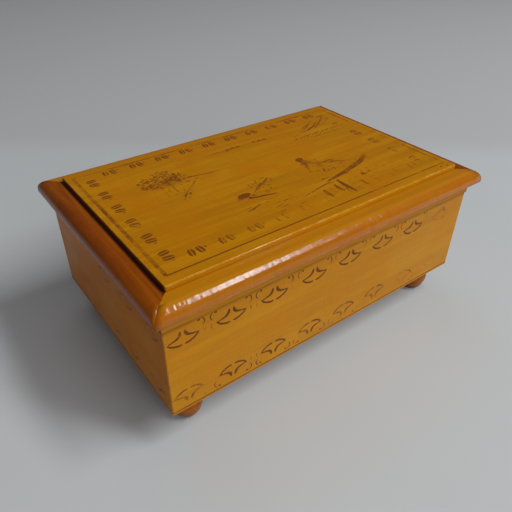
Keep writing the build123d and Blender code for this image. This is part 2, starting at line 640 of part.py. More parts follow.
# ---------------------------------------------------------------- the pinned cylinder
PINS_PER_TRACK = 5
CAP = 1.2
with BuildPart() as pinned_cylinder:
    shaft(AXIS_X, AXIS_Z, CYL_FRONT, CYL_BACK, CYL_RADIUS)
    shaft(AXIS_X, AXIS_Z, CYL_FRONT, CYL_BACK, CYL_RADIUS - CYL_WALL, mode=Mode.SUBTRACT)
    for track in range(TEETH):
        y = COMB_FRONT + (track + 0.5) * TOOTH_PITCH
        for n in range(PINS_PER_TRACK):
            # A repeating figure that climbs the scale, with every other voice set against it.
            beat = 360 * n / PINS_PER_TRACK + 52.5 * track + 18 * ((track * n) % 3) + 7
            with Locations(
                Location((AXIS_X, y, AXIS_Z), (0, beat, 0)) * Location((0, 0, CYL_RADIUS - 0.3))
            ):
                Cylinder(
                    PIN_RADIUS, PIN_TIP - CYL_RADIUS + 0.3,
                    align=(Align.CENTER, Align.CENTER, Align.MIN),
                )
    for y in (CYL_FRONT, CYL_BACK - CAP):
        shaft(AXIS_X, AXIS_Z, y, y + CAP, CYL_RADIUS - CYL_WALL)
    shaft(AXIS_X, AXIS_Z, CYL_FRONT, CYL_BACK, ARBOR, mode=Mode.SUBTRACT)
keep(pinned_cylinder, "pinned_cylinder")

DRIVE_PINION_BACK, DRIVE_PINION = BARREL_Y - 9.75, 2.2
with BuildPart() as cylinder_arbor:
    shaft(AXIS_X, AXIS_Z, GREAT_Y - WHEEL - 0.4, DRIVE_PINION_BACK + 0.3, ARBOR)
    chamfer(cylinder_arbor.edges().filter_by(GeomType.CIRCLE), 0.2)
keep(cylinder_arbor, "cylinder_arbor")

with BuildPart() as drive_pinion:
    # A gap between teeth faces straight down, on to a tooth of the contrate wheel.
    gap_down = -pi / 2 + pi / DRIVE_PINION_TEETH
    add(wheel(
        AXIS_X, AXIS_Z, DRIVE_PINION_BACK, DRIVE_PINION,
        gear_face(DRIVE_PINION_TEETH, DRIVE_MODULE, gap_down, 0.22),
    ))
    shaft(
        AXIS_X, AXIS_Z, DRIVE_PINION_BACK - DRIVE_PINION - 0.3, DRIVE_PINION_BACK, ARBOR + 0.9
    )
    shaft(
        AXIS_X, AXIS_Z, DRIVE_PINION_BACK - DRIVE_PINION - 0.3, DRIVE_PINION_BACK, ARBOR,
        mode=Mode.SUBTRACT,
    )
keep(drive_pinion, "drive_pinion")

with BuildPart() as great_wheel:
    add(wheel(
        AXIS_X, AXIS_Z, GREAT_Y, WHEEL, gear_face(GREAT_TEETH, GREAT_MODULE, toward_second, BACKLASH)
    ))
    shaft(AXIS_X, AXIS_Z, GREAT_Y - WHEEL, GREAT_Y + 0.4, 2.4)
    with Locations(Location((AXIS_X, GREAT_Y, AXIS_Z), (90, 0, 0))):
        with PolarLocations(4.9, 5):
            Cylinder(1.15, 2 * WHEEL + 1, mode=Mode.SUBTRACT)
    shaft(AXIS_X, AXIS_Z, GREAT_Y - WHEEL, GREAT_Y + 0.4, ARBOR, mode=Mode.SUBTRACT)
keep(great_wheel, "great_wheel")

# ---------------------------------------------------------------- governor wheels
with BuildPart() as second_wheel:
    # A gap of the pinion faces the great wheel's tooth; a tooth of the wheel faces the third pinion.
    back_to_great = toward_second + pi
    add(wheel(
        SECOND_X, SECOND_Z, GREAT_Y + 0.2, WHEEL + 0.4,
        gear_face(PINION_TEETH, GREAT_MODULE, back_to_great + pi / PINION_TEETH, BACKLASH),
    ))
    add(wheel(
        SECOND_X, SECOND_Z, SECOND_Y, WHEEL - 0.2,
        gear_face(SECOND_TEETH, SECOND_MODULE, toward_third, BACKLASH),
    ))
    shaft(SECOND_X, SECOND_Z, FRONT_PLATE_Y + 0.2, REAR_PLATE_Y - PLATE - 0.2, 0.8)
    shaft(SECOND_X, SECOND_Z, FRONT_PLATE_Y - PLATE, REAR_PLATE_Y, PIVOT)
    with Locations(Location((SECOND_X, SECOND_Y, SECOND_Z), (90, 0, 0))):
        with PolarLocations(3.7, 4):
            Cylinder(1.1, 2.4, mode=Mode.SUBTRACT)
keep(second_wheel, "second_wheel")

with BuildPart() as third_wheel:
    back_to_second = toward_third + pi
    add(wheel(
        THIRD_X, THIRD_Z, SECOND_Y + 0.2, WHEEL + 0.2,
        gear_face(PINION_TEETH, SECOND_MODULE, back_to_second + pi / PINION_TEETH, BACKLASH),
    ))
    add(wheel(
        THIRD_X, THIRD_Z, WORM_WHEEL_Y, WHEEL,
        gear_face(WORM_WHEEL_TEETH, WORM_MODULE, 0, 0.14),
    ))
    shaft(THIRD_X, THIRD_Z, FRONT_PLATE_Y + 0.2, REAR_PLATE_Y - PLATE - 0.2, 0.7)
    shaft(THIRD_X, THIRD_Z, FRONT_PLATE_Y - PLATE, REAR_PLATE_Y, PIVOT)
keep(third_wheel, "third_wheel")

# The worm: a single right-hand thread, with a groove facing the worm wheel at the wheel's height.
THREAD_DEPTH = 0.62
worm_bottom = THIRD_Z - WORM_PITCH * WORM_TURNS / 2
with BuildPart() as worm:
    with BuildLine(Plane(origin=(WORM_X, WORM_Y, worm_bottom))) as thread_path:
        Helix(WORM_PITCH, WORM_PITCH * WORM_TURNS, WORM_RADIUS)
    with BuildSketch(Plane(origin=thread_path.line @ 0, x_dir=(1, 0, 0), z_dir=thread_path.line % 0)):
        with BuildLine():
            Polyline(
                (-THREAD_DEPTH, -0.36), (0.34, -0.13), (0.34, 0.13), (-THREAD_DEPTH, 0.36), close=True
            )
        make_face()
    sweep(path=thread_path.line, is_frenet=True)
    rod(WORM_X, WORM_Y, worm_bottom - 0.9, worm_bottom + WORM_PITCH * WORM_TURNS + 0.9, 1.0)
    rod(WORM_X, WORM_Y, BED_TOP + PLATE + 0.25, BRACKET_TOP - PLATE - 0.2, STAFF)
    rod(WORM_X, WORM_Y, BED_TOP + 0.2, BRACKET_TOP - 0.2, PIVOT)
    rod(WORM_X, WORM_Y, DISC_Z, DISC_Z + DISC, DISC_RADIUS)
keep(worm, "worm")

BLADE = 0.35
with BuildPart() as governor_fan:
    rod(WORM_X, WORM_Y, FAN_Z, FAN_Z + FAN_HEIGHT, 1.3)
    for turn in (0, 180):
        with BuildSketch(Plane(origin=(WORM_X, WORM_Y, FAN_Z)).rotated((0, 0, turn))):
            with BuildLine():
                # Each wing leaves the hub radially and curls back at its tip.
                ThreePointArc((0.9, -0.3), (3.2, 0.35), (FAN_RADIUS - 0.5, 1.5))
                Line((FAN_RADIUS - 0.5, 1.5), (FAN_RADIUS - 0.7, 1.5 + BLADE))
                ThreePointArc((FAN_RADIUS - 0.7, 1.5 + BLADE), (3.1, 0.35 + BLADE), (0.9, 0.1))
                Line((0.9, 0.1), (0.9, -0.3))
            make_face()
        extrude(amount=FAN_HEIGHT)
    rod(WORM_X, WORM_Y, FAN_Z, FAN_Z + FAN_HEIGHT, STAFF, mode=Mode.SUBTRACT)
keep(governor_fan, "governor_fan")

# ---------------------------------------------------------------- governor plates and bracket
REAR_PLATE_TOP, FRONT_PLATE_TOP = 33.0, 31.4
with BuildPart() as governor_plate_rear:
    block(-50, THIRD_X + 3, REAR_PLATE_Y - PLATE, REAR_PLATE_Y, BED_TOP, REAR_PLATE_TOP)
    x0, x1, y0, y1 = REAR_FLANGE
    block(x0, x1, y0, y1, BED_TOP, BED_TOP + 1.0)
    fillet(governor_plate_rear.edges().filter_by(Axis.Y).group_by(Axis.Z)[-1], 3)
    shaft(AXIS_X, AXIS_Z, REAR_PLATE_Y - PLATE, REAR_PLATE_Y, ARBOR + RUNNING, mode=Mode.SUBTRACT)
    for x, z in ((SECOND_X, SECOND_Z), (THIRD_X, THIRD_Z)):
        shaft(x, z, REAR_PLATE_Y - PLATE, REAR_PLATE_Y, PIVOT + RUNNING, mode=Mode.SUBTRACT)
    for x, y in REAR_SCREWS:
        rod(x, y, BED_TOP, BED_TOP + 1.0, SMALL_SCREW + 0.05, mode=Mode.SUBTRACT)
keep(governor_plate_rear, "governor_plate_rear")

with BuildPart() as governor_plate_front:
    x0, x1, y0, y1 = FRONT_FLANGE
    block(x0, x1, FRONT_PLATE_Y - PLATE, FRONT_PLATE_Y, BED_TOP, FRONT_PLATE_TOP)
    block(x0, x1, y0, y1, BED_TOP, BED_TOP + 1.0)
    fillet(governor_plate_front.edges().filter_by(Axis.Y).group_by(Axis.Z)[-1], 2.5)
    for x, z in ((SECOND_X, SECOND_Z), (THIRD_X, THIRD_Z)):
        shaft(x, z, FRONT_PLATE_Y - PLATE, FRONT_PLATE_Y, PIVOT + RUNNING, mode=Mode.SUBTRACT)
    for x, y in FRONT_SCREWS:
        rod(x, y, BED_TOP, BED_TOP + 1.0, SMALL_SCREW + 0.05, mode=Mode.SUBTRACT)
keep(governor_plate_front, "governor_plate_front")

with BuildPart() as governor_bracket:
    arm = WORM_X - 3.0
    back = BRACKET_FRONT + BRACKET_DEPTH
    block(arm, BRACKET_X, BRACKET_FRONT, back, BED_TOP, BED_TOP + PLATE)
    block(BRACKET_X - PLATE, BRACKET_X, BRACKET_FRONT, back, BED_TOP, BRACKET_TOP)
    block(arm, BRACKET_X, BRACKET_FRONT, back, BRACKET_TOP - PLATE, BRACKET_TOP)
    for z in (EAR_Z, BRACKET_TOP - PLATE):
        thick = PLATE if z > EAR_Z else 1.0
        block(ROD_X - 1.7, BRACKET_X, ROD_Y - 1.5, BRACKET_FRONT + 1, z, z + thick)
    rod(ROD_X, ROD_Y, EAR_Z, BRACKET_TOP, ROD + RUNNING, mode=Mode.SUBTRACT)
    for z in (BED_TOP, BRACKET_TOP - PLATE):
        rod(WORM_X, WORM_Y, z, z + PLATE, PIVOT + RUNNING, mode=Mode.SUBTRACT)
    for x, y in BRACKET_SCREWS:
        rod(x, y, BED_TOP, BED_TOP + PLATE, SMALL_SCREW + 0.05, mode=Mode.SUBTRACT)
keep(governor_bracket, "governor_bracket")

with BuildPart() as bearing_post:
    x0, x1, y0, y1 = POST_FOOT
    block(AXIS_X - 3.2, AXIS_X + 3.2, POST_FRONT, POST_BACK, BED_TOP, AXIS_Z + 3.2)
    block(x0, x1, y0, y1, BED_TOP, BED_TOP + 1.0)
    block(x0, x1, POST_FRONT, POST_BACK, BED_TOP, BED_TOP + 1.0)
    fillet(bearing_post.edges().filter_by(Axis.Y).group_by(Axis.Z)[-1], 3)
    shaft(AXIS_X, AXIS_Z, POST_FRONT, POST_BACK, ARBOR + RUNNING, mode=Mode.SUBTRACT)
    for x, y in POST_SCREWS:
        rod(x, y, BED_TOP, BED_TOP + 1.0, SMALL_SCREW + 0.05, mode=Mode.SUBTRACT)
keep(bearing_post, "bearing_post")

with BuildPart() as frame_screws:
    for x, y in (*REAR_SCREWS, *FRONT_SCREWS, *POST_SCREWS):
        cheese_screw(x, y, BED_TOP + 1.0, SMALL_HEAD, 0.8, SMALL_SCREW, 2.5)
    for x, y in BRACKET_SCREWS:
        cheese_screw(x, y, BED_TOP + PLATE, SMALL_HEAD, 0.8, SMALL_SCREW, 2.7)
    for y in PILLAR_YS:
        cheese_screw(PILLAR_X, y, BRIDGE_Z + PLATE, 2.0, 1.1, SCREW, 4.6)
keep(frame_screws, "frame_screws")

# ---------------------------------------------------------------- stop rod and its spring
reach = hypot(WORM_X - ROD_X, WORM_Y - ROD_Y)
aim = degrees(atan2(WORM_Y - ROD_Y, WORM_X - ROD_X))
FINGER_Z, FINGER, FINGER_WIDTH, FINGER_CLEAR = DISC_Z + DISC + 0.15, 0.7, 1.2, 2.1
with BuildPart() as stop_rod:
    rod(ROD_X, ROD_Y, BED_TOP - 2.4, ROD_TOP, ROD)
    fillet(stop_rod.edges().group_by(Axis.Z)[-1], 0.4)
    rod(ROD_X, ROD_Y, COLLAR_Z, COLLAR_Z + 0.8, 1.3)
    with BuildSketch(Plane(origin=(ROD_X, ROD_Y, FINGER_Z)).rotated((0, 0, aim))):
        # The finger ends over the disc, clear of the worm's thread when the rod is up.
        with Locations(((reach - FINGER_CLEAR - FINGER_WIDTH / 2) / 2, 0)):
            SlotOverall(reach - FINGER_CLEAR + FINGER_WIDTH / 2, FINGER_WIDTH)
    extrude(amount=FINGER)
keep(stop_rod, "stop_rod")

STOP_WIRE, STOP_COIL, STOP_TURNS = 0.16, 1.0, 5
spring_bottom, spring_top = EAR_Z + 1.0 + STOP_WIRE + 0.02, COLLAR_Z - STOP_WIRE - 0.02
with BuildPart() as stop_spring:
    with BuildLine(Plane(origin=(ROD_X, ROD_Y, spring_bottom))) as coil:
        Helix((spring_top - spring_bottom) / STOP_TURNS, spring_top - spring_bottom, STOP_COIL)
    with BuildSketch(Plane(origin=coil.line @ 0, z_dir=coil.line % 0)):
        Circle(STOP_WIRE)
    sweep(path=coil.line, is_frenet=True)
keep(stop_spring, "stop_spring")

# ================================================================ spring barrel
TOOTH_IN, TOOTH_OUT = 9.6, 11.9
TOOTH_RISE = 1.3
CONTRATE_BOTTOM = CONTRATE_TOP - 2.9
with BuildPart() as contrate_tooth:
    with BuildSketch(Plane(origin=(0, -TOOTH_IN, CONTRATE_TOP), x_dir=(1, 0, 0), z_dir=(0, -1, 0))):
        Polygon(
            (-0.56, -0.3), (-0.56, 0), (-0.2, TOOTH_RISE), (0.2, TOOTH_RISE), (0.56, 0), (0.56, -0.3),
            align=None,
        )
    extrude(amount=TOOTH_OUT - TOOTH_IN)

with BuildPart(Plane(origin=(AXIS_X, BARREL_Y, 0))) as contrate_wheel:
    rod(0, 0, CONTRATE_BOTTOM + 0.6, CONTRATE_TOP, TOOTH_OUT)
    rod(0, 0, CONTRATE_BOTTOM, CONTRATE_BOTTOM + 0.6, 4.0)
    with PolarLocations(0, CONTRATE_TEETH):
        add(contrate_tooth.part)
    rod(0, 0, CONTRATE_BOTTOM, CONTRATE_TOP, WINDER + RUNNING, mode=Mode.SUBTRACT)
keep(contrate_wheel, "contrate_wheel")

BARREL_WALL = 0.6
with BuildPart(Plane(origin=(AXIS_X, BARREL_Y, 0))) as barrel_drum:
    rod(0, 0, CONTRATE_TOP, BARREL_TOP - 0.8, BARREL_RADIUS)
    rod(0, 0, CONTRATE_TOP, BARREL_TOP - 0.8, BARREL_RADIUS - BARREL_WALL, mode=Mode.SUBTRACT)
keep(barrel_drum, "barrel_drum")

with BuildPart(Plane(origin=(AXIS_X, BARREL_Y, 0))) as barrel_cap:
    rod(0, 0, BARREL_TOP - 0.8, BARREL_TOP, BARREL_RADIUS)
    fillet(barrel_cap.edges().group_by(Axis.Z)[-1], 0.5)
    rod(0, 0, BARREL_TOP, BARREL_TOP + 0.5, 3.4)
    with PolarLocations(6.2, 3):
        rod(0, 0, BARREL_TOP - 0.8, BARREL_TOP, 1.0, mode=Mode.SUBTRACT)
    rod(0, 0, BARREL_TOP - 0.8, BARREL_TOP + 0.5, WINDER + RUNNING, mode=Mode.SUBTRACT)
keep(barrel_cap, "barrel_cap")

# The mainspring is a chain of half circles whose radius grows by half a coil's pitch at each turn.
COILS, SPRING_STRIP = 6, 0.3
SPRING_INNER = WINDER + 0.45
COIL_PITCH = (BARREL_RADIUS - BARREL_WALL - SPRING_STRIP / 2 - SPRING_INNER) / COILS
SPRING_LOW, SPRING_HIGH = CONTRATE_TOP + 0.4, BARREL_TOP - 1.3
with BuildPart() as mainspring:
    with BuildSketch(Plane(origin=(AXIS_X, BARREL_Y, SPRING_LOW))) as strip:
        with BuildLine() as spiral:
            for half_turn in range(2 * COILS):
                r = SPRING_INNER + half_turn * COIL_PITCH / 2
                centre = 0 if half_turn % 2 == 0 else -COIL_PITCH / 2
                CenterArc((centre, 0), r, 0 if half_turn % 2 == 0 else 180, 180)
        trace(line_width=SPRING_STRIP)
    extrude(amount=SPRING_HIGH - SPRING_LOW)
keep(mainspring, "mainspring")

with BuildPart() as barrel_bridge:
    with BuildSketch(Plane.XY.offset(BRIDGE_Z)):
        with BuildLine():
            tip, root = AXIS_X - 3.5, PILLAR_X + 3.2
            Polyline(
                (AXIS_X, BARREL_Y - 3.5), (PILLAR_X - 4, BARREL_Y - 3.9),
                (PILLAR_X - 1.5, PILLAR_YS[0] - 3), (root, PILLAR_YS[0] - 3),
                (root, PILLAR_YS[1] + 3), (PILLAR_X - 1.5, PILLAR_YS[1] + 3),
                (PILLAR_X - 4, BARREL_Y + 3.9), (AXIS_X, BARREL_Y + 3.5),
            )
            ThreePointArc((AXIS_X, BARREL_Y + 3.5), (tip, BARREL_Y), (AXIS_X, BARREL_Y - 3.5))
        make_face()
    extrude(amount=PLATE)
    chamfer(barrel_bridge.faces().sort_by(Axis.Z)[-1].edges(), 0.25)
    rod(AXIS_X, BARREL_Y, BRIDGE_Z, BRIDGE_Z + PLATE, 1.5 + RUNNING, mode=Mode.SUBTRACT)
    for y in PILLAR_YS:
        rod(PILLAR_X, y, BRIDGE_Z, BRIDGE_Z + PLATE, SCREW + 0.05, mode=Mode.SUBTRACT)
keep(barrel_bridge, "barrel_bridge")

with BuildPart() as winding_arbor:
    rod(AXIS_X, BARREL_Y, BED_TOP - 5.5, BARREL_TOP + 1.0, WINDER)
    rod(AXIS_X, BARREL_Y, BARREL_TOP + 1.0, BRIDGE_Z + PLATE + 0.3, 1.5)
    rod(AXIS_X, BARREL_Y, 4.0, BED_TOP - 5.5, 1.6)
    # The hook that holds the mainspring's inner end.
    block(
        AXIS_X + 1.6, AXIS_X + WINDER + 0.25, BARREL_Y - 0.3, BARREL_Y + 0.3, 28, 32
    )
keep(winding_arbor, "winding_arbor")

CLUTCH_WIRE, CLUTCH_TURNS = 0.25, 3
with BuildPart() as clutch_spring:
    with BuildLine(Plane(origin=(AXIS_X, BARREL_Y, BED_TOP + 0.35))) as wrap:
        Helix(0.56, 0.56 * CLUTCH_TURNS, WINDER + CLUTCH_WIRE + 0.05)
    with BuildSketch(Plane(origin=wrap.line @ 0, z_dir=wrap.line % 0)):
        Circle(CLUTCH_WIRE)
    sweep(path=wrap.line, is_frenet=True)
keep(clutch_spring, "clutch_spring")

# ---------------------------------------------------------------- butterfly key
KEY_HUB, KEY_SPAN, KEY_PLATE = 3.2, 10.0, 1.4
with BuildPart() as winding_key:
    rod(AXIS_X, BARREL_Y, KEY_BOTTOM + 1.0, KEY_TOP, KEY_HUB)
    chamfer(winding_key.edges().filter_by(GeomType.CIRCLE), 0.4)
    with BuildSketch(Plane(origin=(AXIS_X, BARREL_Y + KEY_PLATE / 2, 0), x_dir=(1, 0, 0), z_dir=(0, -1, 0))):
        with BuildLine():
            low, high, waist = KEY_BOTTOM, KEY_TOP - 0.8, 1.3
            middle_z = (low + high) / 2
            Line((-2, low + waist), (2, low + waist))
            ThreePointArc((2, low + waist), (KEY_SPAN / 2, low), (KEY_SPAN, middle_z))
            ThreePointArc((KEY_SPAN, middle_z), (KEY_SPAN / 2, high), (2, high - waist))
            Line((2, high - waist), (-2, high - waist))
            ThreePointArc((-2, high - waist), (-KEY_SPAN / 2, high), (-KEY_SPAN, middle_z))
            ThreePointArc((-KEY_SPAN, middle_z), (-KEY_SPAN / 2, low), (-2, low + waist))
        make_face()
        with Locations((-6.4, middle_z), (6.4, middle_z)):
            Circle(1.7, mode=Mode.SUBTRACT)
    extrude(amount=KEY_PLATE)
    rod(AXIS_X, BARREL_Y, 4.0, KEY_TOP, 1.6, mode=Mode.SUBTRACT)
keep(winding_key, "winding_key")
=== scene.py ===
"""The looks of a varnished wooden music box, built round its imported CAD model.

The printed walls, the lid and its mouldings, the feet and the velvet linings are rebuilt here as finer pieces. The
print is inlaid: its outlines are edges of the face that carries them, and its faces hold how strong the ink is.
Everything else keeps its CAD shape and gets a procedural material. Lengths are in millimetres until they are written
to a mesh, in the row frame: +X along the long side, +Y to the back, +Z up, the origin on the table.
"""

import math
import random

import bmesh
import bpy
from mathutils import Matrix, Vector, noise
from mathutils.geometry import delaunay_2d_cdt

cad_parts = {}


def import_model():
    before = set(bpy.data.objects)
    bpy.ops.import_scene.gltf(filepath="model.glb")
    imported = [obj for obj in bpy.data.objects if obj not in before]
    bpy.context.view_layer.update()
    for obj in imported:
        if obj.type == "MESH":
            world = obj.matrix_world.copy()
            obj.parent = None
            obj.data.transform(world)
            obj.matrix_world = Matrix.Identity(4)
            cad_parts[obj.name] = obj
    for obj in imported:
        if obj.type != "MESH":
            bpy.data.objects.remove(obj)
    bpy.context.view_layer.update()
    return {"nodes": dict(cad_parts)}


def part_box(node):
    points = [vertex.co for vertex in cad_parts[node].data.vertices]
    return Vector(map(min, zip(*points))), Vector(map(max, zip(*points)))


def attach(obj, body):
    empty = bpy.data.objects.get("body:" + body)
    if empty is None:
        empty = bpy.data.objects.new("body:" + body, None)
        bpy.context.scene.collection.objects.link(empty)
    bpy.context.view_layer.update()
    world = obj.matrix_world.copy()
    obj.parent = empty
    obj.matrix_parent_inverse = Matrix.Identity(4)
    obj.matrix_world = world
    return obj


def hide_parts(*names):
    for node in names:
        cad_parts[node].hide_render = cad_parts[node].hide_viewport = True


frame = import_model()
NODES = frame["nodes"]
MM = 0.001


def node_box(name):
    """The lowest and highest corners of a CAD node, in millimetres."""
    low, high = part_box(name)
    return low / MM, high / MM


# ------------------------------------------------------------------ sizes, read from the frame
board_low, board_high = node_box("bottom_board")
panel_low, panel_high = node_box("lid_panel")
nose_low, nose_high = node_box("lid_moulding_front")
front_low, front_high = node_box("wall_front")
HALF_L, HALF_W = board_high.x, board_high.y
BOARD_TOP, WALL_LOW, RIM = board_high.z, front_low.z, panel_low.z
RABBET = 2.5
WALL = front_high.y - front_low.y
PANEL_L, PANEL_W, LID_TOP = panel_high.x, panel_high.y, panel_high.z
BAND = nose_high.z
OVERHANG = nose_high.x - HALF_L
PANEL_INSET = HALF_L - PANEL_L
FOOT_HEIGHT = board_low.z


# ================================================================== materials
class Graph:
    """A short way to write a material's nodes."""

    def __init__(self, name):
        self.material = bpy.data.materials.new(name)
        self.material.use_nodes = True
        self.tree = self.material.node_tree
        self.shader = self.tree.nodes["Principled BSDF"]
        self.place = self.add("TexCoord").outputs["Object"]

    def feed(self, socket, value):
        if isinstance(value, bpy.types.NodeSocket):
            self.tree.links.new(value, socket)
        else:
            socket.default_value = value

    def add(self, kind, inputs=None, **settings):
        node = self.tree.nodes.new("ShaderNode" + kind)
        for key, value in settings.items():
            setattr(node, key, value)
        for key, value in (inputs or {}).items():
            self.feed(node.inputs[key], value)
        return node

    def surface(self, **values):
        """Sets the shader's sockets: surface(Base_Color=..., Roughness=...)."""
        for key, value in values.items():
            self.feed(self.shader.inputs[key.replace("_", " ")], value)

    def noise(self, size, detail=2.0, roughness=0.5, twist=0.0, shift=0.0):
        """Noise from 0 to 1 whose features are size = (x, y, z) millimetres across."""
        mapped = self.add(
            "Mapping",
            {
                "Vector": self.place,
                "Scale": tuple(1 / (MM * s) for s in size),
                "Location": (shift, shift * 0.7, shift * 1.3),
            },
        )
        made = self.add(
            "TexNoise",
            {
                "Vector": mapped.outputs["Vector"],
                "Scale": 1.0,
                "Detail": detail,
                "Roughness": roughness,
                "Distortion": twist,
            },
        )
        return made.outputs["Fac"]

    def maths(self, operation, a, b=0.0):
        return self.add("Math", {0: a, 1: b}, operation=operation).outputs[0]

    def plus(self, a, b):
        return self.maths("ADD", a, b)

    def by(self, a, b):
        return self.maths("MULTIPLY", a, b)

    def step(self, value, low, high, out_low=0.0, out_high=1.0):
        """A smooth step from out_low, at low, to out_high, at high."""
        made = self.add(
            "MapRange",
            {"Value": value, "From Min": low, "From Max": high, "To Min": out_low, "To Max": out_high},
            interpolation_type="SMOOTHSTEP",
        )
        return made.outputs["Result"]

    def mix(self, factor, a, b):
        made = self.add("Mix", {0: factor, 6: a, 7: b}, data_type="RGBA", clamp_factor=True)
        return made.outputs[2]

    def times(self, colour, factor):
        return self.add("VectorMath", {0: colour, 3: factor}, operation="SCALE").outputs[0]

    def bump(self, height, depth):
        """A normal from a height of 0 to 1, depth millimetres deep."""
        return self.add("Bump", {"Height": height, "Distance": depth * MM, "Strength": 1.0}).outputs["Normal"]

    def attribute(self, name):
        return self.add("Attribute", attribute_name=name, attribute_type="GEOMETRY").outputs["Fac"]


def sizes(grain, along, across):
    """A feature size that is long along the grain's axis, 0, 1 or 2."""
    return tuple(along if axis == grain else across for axis in range(3))


INK = (0.125, 0.036, 0.006, 1)
FADED_INK = (0.185, 0.052, 0.008, 1)
# lighter colour of worn edges, which on the panel's top edge is also a painted highlight
RUBBED_AND_GLINT = (0.66, 0.33, 0.06, 1)
# the colour of the seam bands: grime, and painted shade in the joints and under the overhang
GRIME_AND_SHADE = (0.07, 0.022, 0.008, 1)
# painted shade on the panel's sides, and the riser's painted shadow on the short mouldings' band
RISER_SHADE = (0.05, 0.012, 0.006, 1)
# painted shade inside small holes; no hole is cut
HOLE_SHADE = (0.02, 0.008, 0.004, 1)
# each wood as its light, dark and warm colours
HONEY = ((0.560, 0.236, 0.004, 1), (0.495, 0.192, 0.003, 1), (0.535, 0.198, 0.003, 1))
# a redder copy of HONEY for the short walls; its redness is partly painted warm shade
UMBER_WARM_SHADE = ((0.570, 0.212, 0.004, 1), (0.500, 0.166, 0.003, 1), (0.540, 0.172, 0.002, 1))
AMBER = ((0.535, 0.222, 0.003, 1), (0.450, 0.170, 0.002, 1), (0.500, 0.176, 0.002, 1))
ORANGE = ((0.450, 0.150, 0.001, 1), (0.385, 0.108, 0.001, 1), (0.420, 0.112, 0.001, 1))
# painted light: the lighter colour laid on the mouldings' flat band and lip
BAND_LIGHT = (0.535, 0.215, 0.002, 1)
# a darker, redder copy of the moulding wood for the short mouldings, partly painted shade of the side that lies in
# shade
RUSSET_SHADED = ((0.340, 0.082, 0.001, 1), (0.225, 0.046, 0.001, 1), (0.300, 0.060, 0.001, 1))


